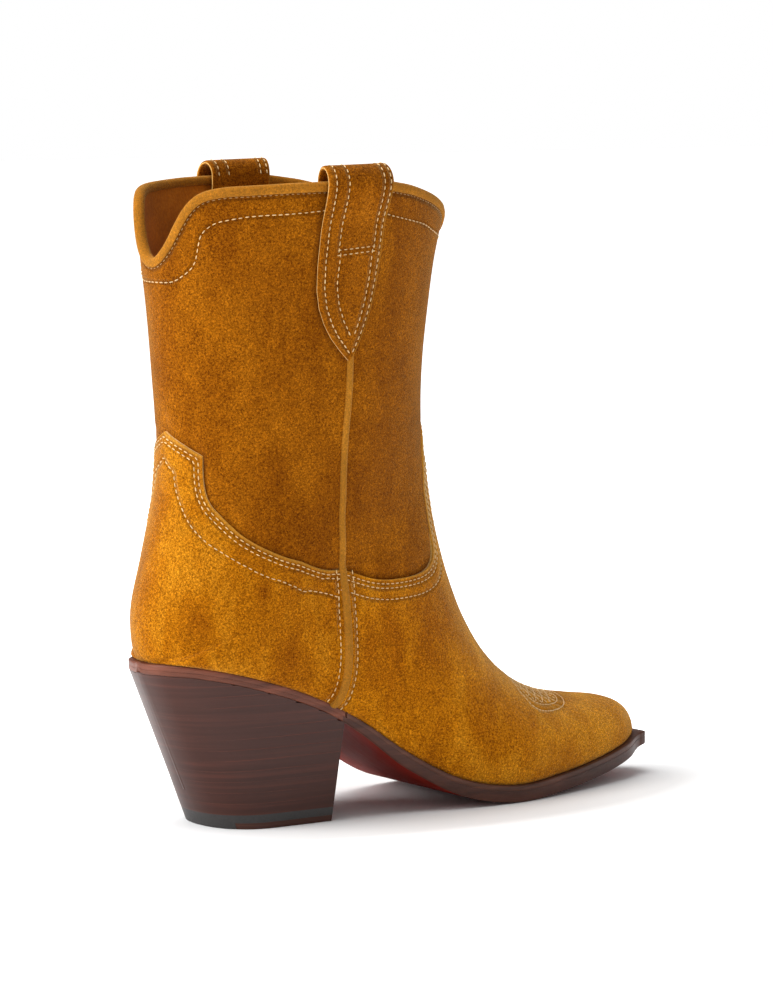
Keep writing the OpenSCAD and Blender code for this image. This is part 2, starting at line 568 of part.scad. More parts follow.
placed() counter_foxing();
placed() vamp();
placed() shaft_back();
placed() shaft_front();
placed() side_piping(-1);  // side_piping_outer
placed() side_piping(1);  // side_piping_inner
placed() pull_strap(-1);  // pull_strap_outer
placed() pull_strap(1);  // pull_strap_inner
placed() collar_binding();
placed() shaft_lining_back();
placed() shaft_lining_front();
placed() heel_lining();
placed() vamp_lining();
placed() heel_stiffener();
placed() toe_puff();
placed() insole();
placed() sock_lining();
placed() welt_strip();
placed() heel_rand();
placed() forepart_filler();
placed() shank();
placed() outsole_board();
placed() heel_lift(1);  // heel_lift_01
placed() heel_lift(2);  // heel_lift_02
placed() heel_lift(3);  // heel_lift_03
placed() heel_lift(4);  // heel_lift_04
placed() heel_lift(5);  // heel_lift_05
placed() heel_lift(6);  // heel_lift_06
placed() heel_lift(7);  // heel_lift_07
placed() heel_lift(8);  // heel_lift_08
placed() heel_lift(9);  // heel_lift_09
placed() heel_lift(10);  // heel_lift_10
placed() heel_lift(11);  // heel_lift_11
placed() heel_lift(12);  // heel_lift_12
placed() heel_lift(13);  // heel_lift_13
placed() top_piece_rubber();
placed() top_piece_leather();
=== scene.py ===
"""Western boot in napped suede: the finished look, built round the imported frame."""

from __future__ import annotations

import logging
import math
from dataclasses import dataclass, field
from enum import Enum
from typing import Callable, Sequence

import bmesh
import bpy
import numpy as np
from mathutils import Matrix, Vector
from mathutils.kdtree import KDTree


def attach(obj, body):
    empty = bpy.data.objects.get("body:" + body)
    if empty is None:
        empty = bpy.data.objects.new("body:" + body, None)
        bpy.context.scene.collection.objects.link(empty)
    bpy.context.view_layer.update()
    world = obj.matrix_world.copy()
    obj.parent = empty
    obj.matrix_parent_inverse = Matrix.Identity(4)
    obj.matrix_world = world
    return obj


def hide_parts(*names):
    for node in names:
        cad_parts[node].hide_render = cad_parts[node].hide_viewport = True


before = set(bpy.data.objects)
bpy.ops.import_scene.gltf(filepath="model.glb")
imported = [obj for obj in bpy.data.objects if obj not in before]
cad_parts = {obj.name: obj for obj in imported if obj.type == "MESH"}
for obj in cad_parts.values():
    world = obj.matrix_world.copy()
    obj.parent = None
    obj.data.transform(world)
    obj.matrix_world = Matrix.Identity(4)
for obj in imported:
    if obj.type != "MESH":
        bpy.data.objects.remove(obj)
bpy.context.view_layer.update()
LOG = logging.getLogger("boot")
MM = 0.001
Grid = np.ndarray


class Side(Enum):
    """Outer (little-toe) or inner side of the right foot."""

    OUTER = -1
    INNER = 1


# --------------------------------------------------------------------------- shape of the last
# bottom or back point x z, top or front point x z, half width at the sole edge, largest half width,
# where along the section that width lies, roundness; toe to collar
LAST_ROWS = (
    (259.4, 18.4, 258.6, 21.8, 5.0, 5.6, 0.45, 2.2),
    (257.9, 18.1, 255.9, 27.6, 6.6, 7.8, 0.44, 2.3),
    (253.9, 17.0, 251.4, 32.0, 10.0, 11.8, 0.42, 2.4),
    (244.6, 14.9, 242.8, 35.2, 16.0, 18.4, 0.4, 2.35),
    (226.0, 11.9, 227.5, 37.4, 23.2, 26.0, 0.39, 2.2),
    (200.5, 9.0, 206.0, 41.5, 30.4, 33.5, 0.37, 2.0),
    (172.0, 7.35, 186.0, 50.8, 35.0, 39.0, 0.34, 1.9),
    (144.0, 12.4, 171.0, 65.5, 33.4, 39.0, 0.34, 1.8),
    (118.0, 25.6, 161.0, 82.0, 29.6, 36.9, 0.36, 1.8),
    (94.0, 41.5, 154.5, 98.0, 27.6, 35.4, 0.38, 1.85),
    (68.0, 54.4, 150.5, 112.0, 28.2, 34.8, 0.38, 1.9),
    (40.0, 63.8, 147.8, 124.0, 27.2, 34.7, 0.38, 1.95),
    (20.0, 68.6, 146.3, 132.5, 21.6, 34.9, 0.38, 2.0),
    (10.0, 69.8, 145.4, 138.5, 12.4, 35.1, 0.38, 2.0),
    (6.5, 70.2, 144.9, 143.0, 0.0, 35.3, 0.38, 2.0),
    (4.6, 77.0, 144.2, 147.5, 0.0, 35.5, 0.39, 2.0),
    (4.6, 90.0, 142.8, 154.5, 0.0, 35.8, 0.41, 2.0),
    (9.5, 110.0, 141.6, 165.0, 0.0, 36.2, 0.44, 2.0),
    (15.0, 135.0, 140.9, 178.5, 0.0, 37.0, 0.47, 2.0),
    (16.8, 160.0, 141.0, 194.0, 0.0, 38.0, 0.49, 2.05),
    (15.2, 186.0, 142.4, 211.0, 0.0, 39.6, 0.5, 2.1),
    (13.0, 213.0, 145.2, 230.5, 0.0, 41.6, 0.5, 2.1),
    (10.1, 239.0, 148.8, 247.5, 0.0, 44.2, 0.5, 2.1),
    (8.5, 263.0, 151.6, 266.0, 0.0, 46.4, 0.5, 2.1),
)
# millimetres: suede, lining, how far the lower panels stand off the last, gap between pieces, welt
LEATHER = 1.5
LINING = 1.1
PROUD = 0.3
GAP = 0.02
WELT = 2.4
# stations: foot of the side seam, its crossing above the foot, back end of the seat, heel breast
T_SIDE, T_CROSS, T_SEAT, T_BREAST = 9.55, 12.9, 14.0, 9.32
# station where the strips round the heel end, just short of the back end
T_BACK = 13.98
# girth share of the side seam at its crossing
SEAM_GIRTH = 0.45
# millimetres of sole beyond the upper, and what the toe and the seat add to it
LEDGE_TREAD, LEDGE_WAIST, LEDGE_BREAST, LEDGE_TOE_MORE, LEDGE_SEAT_MORE = 3.4, 2.2, 1.4, 2.8, 1.9
SEAM = ((12.9, 0.45), (14.5, 0.461), (15.7, 0.457), (16.8, 0.431), (18.05, 0.386), (19.85, 0.367), (21.9, 0.368),
        (23, 0.37))
COUNTER_FOOT = ((14, 0), (13.9, 0), (13.7, 0), (13.45, 0), (13.2, 0), (12.9, 0), (12.5, 0), (12.0, 0), (11.45, 0),
                (10.85, 0), (10.2, 0), (9.55, 0))
COUNTER_TOP = ((19.15, 0), (19.0, 0.045), (18.85, 0.08), (18.7, 0.11), (18.3, 0.113), (17.9, 0.13), (17.55, 0.17),
               (16.95, 0.23), (16.2, 0.305), (15.2, 0.38), (14.0, 0.43), (12.9, 0.45))
VAMP_FOOT = ((9.55, 0), (8.5, 0), (7.3, 0), (6.0, 0), (4.8, 0), (3.7, 0), (2.7, 0), (1.8, 0), (0.9, 0), (0.05, 0.02),
             (0, 0.4), (0, 1))
SHAFT_BACK_LOW = ((0, 18.55), (0.3, 17.6), (0.42, 16.9), (0.54, 16.2), (0.7, 15.2), (0.84, 13.9), (1, 12.6))
SHAFT_FRONT_LOW = ((0, 12.6), (0.12, 11.0), (0.25, 10.3), (0.4, 9.9), (0.6, 9.7), (1, 9.65))
COUNTER_LINE = ((0, 19.15), (0.27, 18.75), (0.3, 18.3), (0.33, 17.9), (0.42, 17.55), (0.54, 16.95), (0.7, 16.2),
                (0.84, 15.2), (1, 12.9))
VAMP_LINE = ((0, 12.9), (0.13, 11.4), (0.24, 10.9), (0.39, 10.45), (0.6, 10.15), (0.64, 10.6), (0.67, 15.0),
             (0.72, 16.6), (1, 17.1))
COLLAR_BACK = ((0, 21.78), (0.04, 21.8), (0.08, 21.87), (0.12, 21.98), (0.16, 22.14), (0.2, 22.36), (0.235, 22.56),
               (0.27, 22.72), (0.31, 22.84), (0.36, 22.92), (0.44, 22.97), (0.7, 23.01), (1, 23.02))
COLLAR_FRONT = ((0, 23.02), (0.12, 22.97), (0.25, 22.86), (0.4, 22.67), (0.57, 22.42), (0.68, 22.2), (0.78, 21.96),
                (0.87, 21.76), (0.94, 21.66), (1, 21.64))


def ease(f: Grid | float) -> Grid:
    """Smooth step from 0 to 1."""
    c = np.clip(f, 0.0, 1.0)
    return c * c * (3.0 - 2.0 * c)


def look(pairs: Sequence[Sequence[float]], k: Grid | float) -> Grid:
    """Value of a list of (key, value) pairs at k, straight between the keys."""
    a = np.array(pairs, float)
    return np.interp(k, a[:, 0], a[:, 1])


def along(pairs: Sequence[Sequence[float]], s: Grid | float) -> tuple[Grid, Grid]:
    """Point on a line of control points at s from 0 to 1.

    Args:
        pairs: Control points, evenly spread over s.
        s: Where on the line.

    Returns:
        Its two coordinates.
    """
    a = np.array(pairs, float)
    k = np.linspace(0.0, 1.0, len(a))
    return np.interp(s, k, a[:, 0]), np.interp(s, k, a[:, 1])


def rounded(pairs: Sequence[Sequence[float]], times: int = 2, corners: tuple[int, ...] = ()) -> np.ndarray:
    """A control line with its bends cut smooth, keeping its ends and the named corners.

    Args:
        pairs: Control points.
        times: How often the bends are cut.
        corners: Indices of points that stay sharp.

    Returns:
        The finer line, with the parameter of each point as a third column.
    """
    a = np.column_stack([np.array(pairs, float), np.linspace(0, 1, len(pairs))])
    keep = {0, len(a) - 1, *corners}
    for _ in range(times):
        out: list[np.ndarray] = []
        kept: set[int] = set()
        for i, p in enumerate(a):
            if i in keep:
                kept.add(len(out))
                out.append(p)
            else:
                out.append(p * 0.75 + a[i - 1] * 0.25)
                out.append(p * 0.75 + a[i + 1] * 0.25)
        a, keep = np.array(out), kept
    return a


def at_param(line: np.ndarray, s: Grid | float) -> tuple[Grid, Grid]:
    """Point of a rounded line at the parameter it was drawn with."""
    return np.interp(s, line[:, 2], line[:, 0]), np.interp(s, line[:, 2], line[:, 1])


def ledge(t: Grid) -> Grid:
    """Overhang of the sole beyond the upper: widest at the toe, least by the heel breast, wider round the seat."""
    a = LEDGE_TREAD + (LEDGE_WAIST - LEDGE_TREAD) * ease((t - 6.5) / 2)
    a = a + (LEDGE_BREAST - a) * ease((t - 8.6) / 1.2)
    return a + LEDGE_TOE_MORE * (1 - ease(t / 2)) + LEDGE_SEAT_MORE * ease((t - 11.2) / 2.4)


@dataclass
class Last:
    """The surface that the upper is pulled over, in millimetres, and its place in the row's frame."""

    rows: np.ndarray = field(default_factory=lambda: np.array(LAST_ROWS))
    swing_mm: float = 5.0
    centre_x: float = 0.0

    def __post_init__(self) -> None:
        """Finds the shift that puts the origin midway along the boot."""
        back = self.skin(np.array(15.5), np.array(0.0))[0] - PROUD
        seat = self.foot_edge(np.array(T_BACK), ledge(np.array(T_BACK)), 0.0, Side.INNER)[0]
        toe = self.foot_edge(np.array(0.0), ledge(np.array(0.0)), 0.0, Side.INNER)[0]
        self.centre_x = float((min(back, seat) + toe) / 2)

    def row(self, t: Grid) -> Grid:
        """The section at station t, smooth between the rows."""
        t = np.asarray(t, float)
        n = len(self.rows)
        i = np.clip(np.floor(t).astype(int), 0, n - 2)
        f = (t - i)[..., None]
        a, b = self.rows[i], self.rows[i + 1]
        ma = np.where((i > 0)[..., None], (b - self.rows[np.maximum(i - 1, 0)]) / 2, b - a)
        mb = np.where((i < n - 2)[..., None], (self.rows[np.minimum(i + 2, n - 1)] - a) / 2, b - a)
        f2, f3 = f * f, f * f * f
        return (2 * f3 - 3 * f2 + 1) * a + (f3 - 2 * f2 + f) * ma + (3 * f2 - 2 * f3) * b + (f3 - f2) * mb

    def swing(self, x: Grid) -> Grid:
        """Shift of the centre line towards the inner side."""
        return self.swing_mm * ease((x - 80) / 175)

    def skin(self, t: Grid, g: Grid) -> Grid:
        """Point of the surface.

        Args:
            t: Station, 0 at the toe to 23 at the collar.
            g: Girth share, 0 at the back or the sole edge and 1 at the front ridge; the inner side
                lies beyond either end.

        Returns:
            Points, with x y z last.
        """
        t, g = np.broadcast_arrays(np.asarray(t, float), np.asarray(g, float))
        r = self.row(t)
        side = np.where((g < 0) | (g > 1), 1.0, -1.0)
        p = np.where(g < 0, -g, np.where(g > 1, 2 - g, g))
        knee = 0.35
        a = np.pi / 2 * np.minimum(1, p / knee)
        b = np.pi / 2 * np.clip((p - knee) / (1 - knee), 0, 1)
        c = np.maximum(r[..., 4], 0)
        low = p < knee
        y = np.where(low, c + (r[..., 5] - c) * np.sin(a), r[..., 5] * np.maximum(np.cos(b), 0) ** (2 / r[..., 7]))
        q = np.where(low, r[..., 6] * (1 - np.cos(a)), r[..., 6] + (1 - r[..., 6]) * np.sin(b) ** (2 / r[..., 7]))
        x = r[..., 0] + q * (r[..., 2] - r[..., 0])
        z = r[..., 1] + q * (r[..., 3] - r[..., 1])
        return np.stack([x, side * y + self.swing(x), z], -1)

    def outward(self, t: Grid, g: Grid) -> Grid:
        """Unit direction away from the foot at a point of the surface."""
        t, g0 = np.broadcast_arrays(np.asarray(t, float), np.asarray(g, float))
        corner = (t > 12.2) & (t < 14.25) & (np.abs(g0) < 0.07) & (np.abs(g0) > 0)
        g = np.where(corner, np.sign(g0) * 0.07, g0)
        foot = t < T_SEAT
        ga = np.where(foot, np.where(g < 0, np.minimum(g + 0.02, -1e-6) - 0.04,
                                     np.where(g < 1, np.maximum(g - 0.02, 0), np.minimum(g + 0.02, 2) - 0.04)),
                      g - 0.02)
        ta = np.where(foot, np.maximum(t - 0.12, 0), np.maximum(t - 0.12, T_SEAT))
        tb = np.where(foot & ~corner, np.minimum(t + 0.12, T_SEAT), t + 0.12)
        n = np.cross(self.skin(t, ga + 0.04) - self.skin(t, ga), self.skin(tb, g) - self.skin(ta, g))
        n /= np.maximum(np.linalg.norm(n, axis=-1, keepdims=True), 1e-9)
        r = self.row(t)
        x = (r[..., 0] + r[..., 2]) / 2
        middle = np.stack([x, self.swing(x), (r[..., 1] + r[..., 3]) / 2], -1)
        flip = np.sum(n * (self.skin(t, g) - middle), -1, keepdims=True) < 0
        return np.where(flip, -n, n)

    def raised(self, t: Grid, g: Grid, d: Grid | float) -> Grid:
        """Point of the surface moved outwards by d."""
        d = np.broadcast_to(np.asarray(d, float), np.broadcast(np.asarray(t), np.asarray(g)).shape)
        return self.skin(t, g) + self.outward(t, g) * d[..., None]

    def foot_edge(self, t: Grid, e: Grid | float, dz: Grid | float, side: Side) -> Grid:
        """Point beside the sole edge.

        Args:
            t: Station.
            e: Distance beyond the sole edge in plan.
            dz: Distance below it.
            side: Which side of the foot.

        Returns:
            Points, with x y z last.
        """
        t = np.asarray(t, float)
        a, b, m = self.row(np.maximum(t - 0.05, 0)), self.row(np.minimum(t + 0.05, T_SEAT)), self.row(t)
        n = np.stack([b[..., 4] - a[..., 4], a[..., 0] - b[..., 0]], -1)
        n /= np.maximum(np.linalg.norm(n, axis=-1, keepdims=True), 1e-9)
        x = m[..., 0] + e * n[..., 0]
        y = np.maximum(m[..., 4] + e * n[..., 1], 0.5)
        return np.stack([x, side.value * y + self.swing(m[..., 0]), m[..., 1] - dz + 0 * x], -1)

    def placed(self, points: Grid) -> Grid:
        """Millimetres on the last turned into metres in the row's frame."""
        return (np.asarray(points, float) - np.array([self.centre_x, 0, 0])) * MM


def rise(f: Grid | float) -> Grid:
    """Climb of the side seam over the foot, from the sole edge (0) to the crossing (1), by share of its girth."""
    return 0.77 * np.power(f, 2.75) + 0.23 * np.power(f, 26.0)


def seam_share(t: Grid) -> Grid:
    """Girth share of the side seam at any station."""
    f = np.linspace(0, 1, 600)
    low = SEAM_GIRTH * np.interp((np.asarray(t) - T_SIDE) / (T_CROSS - T_SIDE), rise(f), f)
    return np.where(np.asarray(t) >= T_CROSS, look(SEAM, t), low)


# --------------------------------------------------------------------------- finishes
class Paint:
    """Builds one node material; small helpers keep the trees short."""

    def __init__(self, name: str) -> None:
        """Starts an empty material with a Principled shader."""
        self.mat = bpy.data.materials.new(name)
        self.mat.use_nodes = True
        self.tree = self.mat.node_tree
        self.shader = self.tree.nodes["Principled BSDF"]
        self.object_co = self.node("ShaderNodeTexCoord").outputs["Object"]

    def node(self, kind: str, **values: object) -> bpy.types.Node:
        """Adds a node; values set its own properties."""
        made = self.tree.nodes.new(kind)
        for key, value in values.items():
            setattr(made, key, value)
        return made

    def link(self, a: bpy.types.NodeSocket, b: bpy.types.NodeSocket) -> None:
        """Joins two sockets."""
        self.tree.links.new(a, b)

    def stretched(self, scale: Sequence[float]) -> bpy.types.NodeSocket:
        """Object coordinates scaled along each axis."""
        m = self.node("ShaderNodeMapping")
        m.inputs["Scale"].default_value = scale
        self.link(self.object_co, m.inputs["Vector"])
        return m.outputs["Vector"]

    def noise(self, scale: float, detail: float = 2.0, rough: float = 0.5, vector: object = None,
              distort: float = 0.0) -> bpy.types.NodeSocket:
        """A noise value round 0.5.

        Args:
            scale: Features per metre.
            detail: Octaves.
            rough: Strength of the finer octaves.
            vector: Coordinates, or None for the object's.
            distort: Bend of the pattern.

        Returns:
            The factor socket.
        """
        n = self.node("ShaderNodeTexNoise")
        n.inputs["Scale"].default_value = scale
        n.inputs["Detail"].default_value = detail
        n.inputs["Roughness"].default_value = rough
        n.inputs["Distortion"].default_value = distort
        self.link(vector if vector is not None else self.object_co, n.inputs["Vector"])
        return n.outputs["Fac"]

    def ramp(self, fac: bpy.types.NodeSocket, stops: Sequence[tuple[float, Sequence[float]]]) -> bpy.types.NodeSocket:
        """A colour ramp from (place, colour) stops."""
        r = self.node("ShaderNodeValToRGB")
        while len(r.color_ramp.elements) < len(stops):
            r.color_ramp.elements.new(0.5)
        for e, (place, colour) in zip(r.color_ramp.elements, stops):
            e.position = place
            e.color = (*colour[:3], 1.0)
        self.link(fac, r.inputs["Fac"])
        return r.outputs["Color"]

    def mix(self, fac: object, a: object, b: object, blend: str = "MIX") -> bpy.types.NodeSocket:
        """Mixes two colours.

        Args:
            fac: Socket or number.
            a: First colour, socket or value.
            b: Second colour, socket or value.
            blend: Blend type.

        Returns:
            The colour socket.
        """
        m = self.node("ShaderNodeMix", data_type="RGBA", blend_type=blend)
        for number, value in ((0, fac), (6, a), (7, b)):
            if isinstance(value, bpy.types.NodeSocket):
                self.link(value, m.inputs[number])
            else:
                m.inputs[number].default_value = value if number == 0 else (*value[:3], 1.0)
        return m.outputs[2]

    def math(self, op: str, a: object, b: object = 0.0, clamp: bool = False) -> bpy.types.NodeSocket:
        """One sum on numbers or sockets."""
        m = self.node("ShaderNodeMath", operation=op, use_clamp=clamp)
        for socket, value in zip(m.inputs, (a, b)):
            if isinstance(value, bpy.types.NodeSocket):
                self.link(value, socket)
            else:
                socket.default_value = value
        return m.outputs[0]

    def attribute(self, name: str) -> bpy.types.NodeSocket:
        """A number stored on the mesh."""
        return self.node("ShaderNodeAttribute", attribute_name=name).outputs["Fac"]

    def bump(self, height: bpy.types.NodeSocket, distance: float, strength: float = 1.0,
             below: bpy.types.NodeSocket | None = None) -> bpy.types.NodeSocket:
        """A bump normal, distance in metres, on top of another normal if given."""
        b = self.node("ShaderNodeBump")
        b.inputs["Distance"].default_value = distance
        b.inputs["Strength"].default_value = strength
        self.link(height, b.inputs["Height"])
        if below is not None:
            self.link(below, b.inputs["Normal"])
        return b.outputs["Normal"]

    def finish(self, colour: object, rough: object, normal: object = None, **fixed: object) -> bpy.types.Material:
        """Wires the shader.

        Args:
            colour: Base colour socket or value.
            rough: Roughness socket or number.
            normal: Normal socket.
            fixed: Sockets, numbers or colours for the shader's other sockets, by name with _ for spaces.

        Returns:
            The material.
        """
        for name, value in (("Base Color", colour), ("Roughness", rough), ("Normal", normal)):
            if isinstance(value, bpy.types.NodeSocket):
                self.link(value, self.shader.inputs[name])
            elif value is not None:
                self.shader.inputs[name].default_value = (*value, 1.0) if name == "Base Color" else value
        for name, value in fixed.items():
            socket = self.shader.inputs[name.replace("_", " ")]
            if isinstance(value, bpy.types.NodeSocket):
                self.link(value, socket)
            else:
                socket.default_value = value
        return self.mat


@dataclass(frozen=True)
class Suede:
    """Napped suede: speckled fibres, brushed light and dark patches, a soft sheen, dented seams with painted shade in
    the dents, painted shade beside the edges of pieces lying on it, and a lighter band along top edges.
    """

    name: str
    dark: tuple[float, float, float] = (0.150, 0.040, 0.0010)
    mid: tuple[float, float, float] = (0.198, 0.057, 0.0014)
    light: tuple[float, float, float] = (0.265, 0.083, 0.0025)
    nap: float = 1.0
    sheen: float = 0.3

    def build(self) -> bpy.types.Material:
        """Makes the material."""
        p = Paint(self.name)
        patches = p.noise(16, 5, 0.55, distort=0.5)
        brushed = p.noise(70, 3, 0.6, p.stretched((1, 1, 0.45)), 0.4)
        field_ = p.math("ADD", p.math("MULTIPLY", patches, 0.5), p.math("MULTIPLY", brushed, 0.5))
        base = p.ramp(field_, ((0.37, self.dark), (0.5, self.mid), (0.63, self.light)))
        fibre = p.noise(3100, 2, 0.7)
        clump = p.noise(1300, 3, 0.75, distort=0.5)
        speck = p.math("ADD", p.math("MULTIPLY", fibre, 0.38), p.math("MULTIPLY", clump, 0.62))
        shade = p.ramp(speck, ((0.39, (0.36, 0.29, 0.22)), (0.455, (0.72, 0.69, 0.64)), (0.52, (1.06, 1.07, 1.10)),
                               (0.61, (1.95, 2.05, 2.3))))
        colour = p.mix(1.0, base, shade, "MULTIPLY")
        # Dented seams: the bump below dents the leather within 1.4 mm of a stitch row, and the darker colour mixed in
        # there is painted shade in the dent.
        groove = p.math("SUBTRACT", 1.0, p.math("DIVIDE", p.attribute("seam"), 1.4, True), True)
        dent_shade_colour = (self.dark[0] * 0.6, self.dark[1] * 0.5, self.dark[2])
        colour = p.mix(p.math("MULTIPLY", groove, 0.5), colour, dent_shade_colour)
        # Painted shade: darker within 2.6 mm of the edges of the pieces lying on the shaft, where their shadow falls.
        colour = p.mix(p.math("MULTIPLY", p.attribute("painted_shade"), 0.62), colour, (0.075, 0.020, 0.002))
        # Lighter colour within 1.7 mm of a panel's top edge; the piping and binding store 0.9 and 1.1, so they are
        # lighter all over.
        top_edge_band = p.math("SUBTRACT", 1.0, p.math("DIVIDE", p.attribute("rim"), 1.7, True), True)
        colour = p.mix(p.math("MULTIPLY", top_edge_band, 0.6), colour, (0.60, 0.30, 0.045))
        height = p.math("ADD", p.math("MULTIPLY", speck, 0.6 * self.nap), p.math("MULTIPLY", p.noise(210, 3, 0.6), 0.4))
        normal = p.bump(height, 0.0009, 0.85)
        normal = p.bump(p.math("MULTIPLY", groove, -1.0), 0.0008, 1.0, normal)
        return p.finish(colour, 0.92, normal, Sheen_Weight=self.sheen, Sheen_Roughness=0.3,
                        Sheen_Tint=(1.0, 0.72, 0.30, 1.0), Specular_IOR_Level=0.03)


@dataclass(frozen=True)
class RawEdge:
    """Cut edge of suede: pale, fuzzy core of the hide."""

    name: str = "raw suede edge"
    colour: tuple[float, float, float] = (0.66, 0.37, 0.085)

    def build(self) -> bpy.types.Material:
        """Makes the material."""
        p = Paint(self.name)
        fibre = p.noise(1300, 3, 0.7)
        colour = p.ramp(fibre, ((0.3, tuple(c * 0.62 for c in self.colour)),
                                (0.7, tuple(c * 1.2 for c in self.colour))))
        return p.finish(colour, 0.95, p.bump(fibre, 0.0004, 0.8), Sheen_Weight=0.25, Specular_IOR_Level=0.1)


@dataclass(frozen=True)
class LiningHide:
    """Brown lining leather with a fine grain."""

    name: str = "lining hide"
    colour: tuple[float, float, float] = (0.46, 0.145, 0.009)

    def build(self) -> bpy.types.Material:
        """Makes the material."""
        p = Paint(self.name)
        grain = p.noise(900, 4, 0.6)
        patch = p.noise(35, 3, 0.6)
        base = p.ramp(patch, ((0.3, tuple(c * 0.7 for c in self.colour)), (0.7, tuple(c * 1.3 for c in self.colour))))
        colour = p.mix(0.5, base, p.ramp(grain, ((0.3, (0.6, 0.6, 0.6)), (0.7, (1.3, 1.3, 1.3)))), "MULTIPLY")
        return p.finish(colour, 0.8, p.bump(grain, 0.0004, 0.6), Sheen_Weight=0.05, Specular_IOR_Level=0.05)


@dataclass(frozen=True)
class Thread:
    """Waxed cream thread with a twist."""

    name: str = "cream thread"
    colour: tuple[float, float, float] = (0.74, 0.50, 0.21)

    def build(self) -> bpy.types.Material:
        """Makes the material."""
        p = Paint(self.name)
        fibre = p.noise(2600, 2, 0.5)
        dirt = p.noise(90, 3, 0.6)
        base = p.ramp(dirt, ((0.3, tuple(c * 0.75 for c in self.colour)), (0.65, self.colour)))
        colour = p.mix(0.6, base, p.ramp(fibre, ((0.35, (0.7, 0.68, 0.62)), (0.65, (1.15, 1.15, 1.15)))), "MULTIPLY")
        return p.finish(colour, 0.6, p.bump(fibre, 0.00015, 0.7), Sheen_Weight=0.15)


@dataclass(frozen=True)
class StackedLeather:
    """Polished lifts: dark red-brown with fine level lines and lighter burnished patches."""

    name: str = "stacked leather"
    dark: tuple[float, float, float] = (0.040, 0.014, 0.010)
    red: tuple[float, float, float] = (0.115, 0.030, 0.018)
    rough: float = 0.36
    pitch: float = 0.0046
    start: float = 0.006

    def build(self) -> bpy.types.Material:
        """Makes the material."""
        p = Paint(self.name)
        wander = p.math("MULTIPLY", p.math("SUBTRACT", p.noise(14, 3, 0.6), 0.5), 0.0028)
        split = p.node("ShaderNodeSeparateXYZ")
        p.link(p.object_co, split.inputs[0])
        level = p.math("DIVIDE", p.math("SUBTRACT", p.math("ADD", split.outputs["Z"], wander), self.start), self.pitch)
        near = p.math("ABSOLUTE", p.math("SUBTRACT", p.math("FRACT", level), 0.5))
        line = p.math("MULTIPLY", p.math("SUBTRACT", near, 0.455), 22.0, True)
        fade = p.math("MULTIPLY", p.math("SUBTRACT", p.noise(1.0, 2, 0.5, p.stretched((22, 22, 95))), 0.42), 5.0, True)
        line = p.math("MULTIPLY", line, fade)
        streaks = p.noise(1.0, 5, 0.62, p.stretched((9, 9, 330)), 0.25)
        cloud = p.noise(30, 4, 0.6)
        base = p.ramp(streaks, ((0.30, tuple(a * 0.72 for a in self.dark)), (0.52, self.dark),
                                (0.72, tuple(a * 0.55 + b * 0.45 for a, b in zip(self.dark, self.red)))))
        warm = tuple(a * 0.8 + b * 0.3 for a, b in zip(self.dark, self.red))
        base = p.mix(p.math("MULTIPLY", cloud, 0.45), base, warm)
        colour = p.mix(p.math("MULTIPLY", line, 0.6), base, self.red)
        rough = p.math("ADD", self.rough - 0.06, p.math("MULTIPLY", cloud, 0.16))
        normal = p.bump(p.math("ADD", streaks, p.math("MULTIPLY", line, -0.6)), 0.00012, 0.5)
        return p.finish(colour, rough, normal, Specular_IOR_Level=0.2)


@dataclass(frozen=True)
class EdgeLeather:
    """Waxed edge of the welt, rand or sole."""

    name: str
    colour: tuple[float, float, float]
    rough: float = 0.42

    def build(self) -> bpy.types.Material:
        """Makes the material."""
        p = Paint(self.name)
        streak = p.noise(1.0, 4, 0.65, p.stretched((30, 30, 260)))
        fine = p.noise(700, 3, 0.6)
        colour = p.ramp(streak, ((0.3, tuple(c * 0.55 for c in self.colour)), (0.52, self.colour),
                                 (0.72, tuple(min(1, c * 1.55) for c in self.colour))))
        rough = p.math("ADD", self.rough - 0.08, p.math("MULTIPLY", fine, 0.16))
        return p.finish(colour, rough, p.bump(fine, 0.0002, 0.4), Specular_IOR_Level=0.2)


@dataclass(frozen=True)
class SolePaint:
    """Painted red underside with a soft gloss and light scuffs."""

    name: str = "painted sole"
    colour: tuple[float, float, float] = (0.190, 0.012, 0.005)

    def build(self) -> bpy.types.Material:
        """Makes the material."""
        p = Paint(self.name)
        cloud = p.noise(24, 4, 0.6)
        scuff = p.noise(1.0, 5, 0.75, p.stretched((60, 400, 60)))
        base = p.ramp(cloud, ((0.3, tuple(c * 0.75 for c in self.colour)), (0.7, tuple(c * 1.25 for c in self.colour))))
        rough = p.math("ADD", 0.42, p.math("MULTIPLY", scuff, 0.25))
        return p.finish(base, rough, p.bump(p.noise(420, 3, 0.6), 0.0002, 0.35), Specular_IOR_Level=0.03)


@dataclass(frozen=True)
class Plain:
    """Hidden or small parts: cork, board, steel and rubber, each with its own grain."""

    name: str
    colour: tuple[float, float, float]
    rough: float = 0.8
    metal: float = 0.0
    scale: float = 600

    def build(self) -> bpy.types.Material:
        """Makes the material."""
        p = Paint(self.name)
        grain = p.noise(self.scale, 4, 0.65)
        wear = p.noise(45, 3, 0.6)
        base = p.ramp(grain, ((0.3, tuple(c * 0.7 for c in self.colour)),
                              (0.7, tuple(min(1, c * 1.3) for c in self.colour))))
        rough = p.math("ADD", self.rough - 0.1, p.math("MULTIPLY", wear, 0.2))
        return p.finish(base, rough, p.bump(grain, 0.0003, 0.5), Metallic=self.metal)


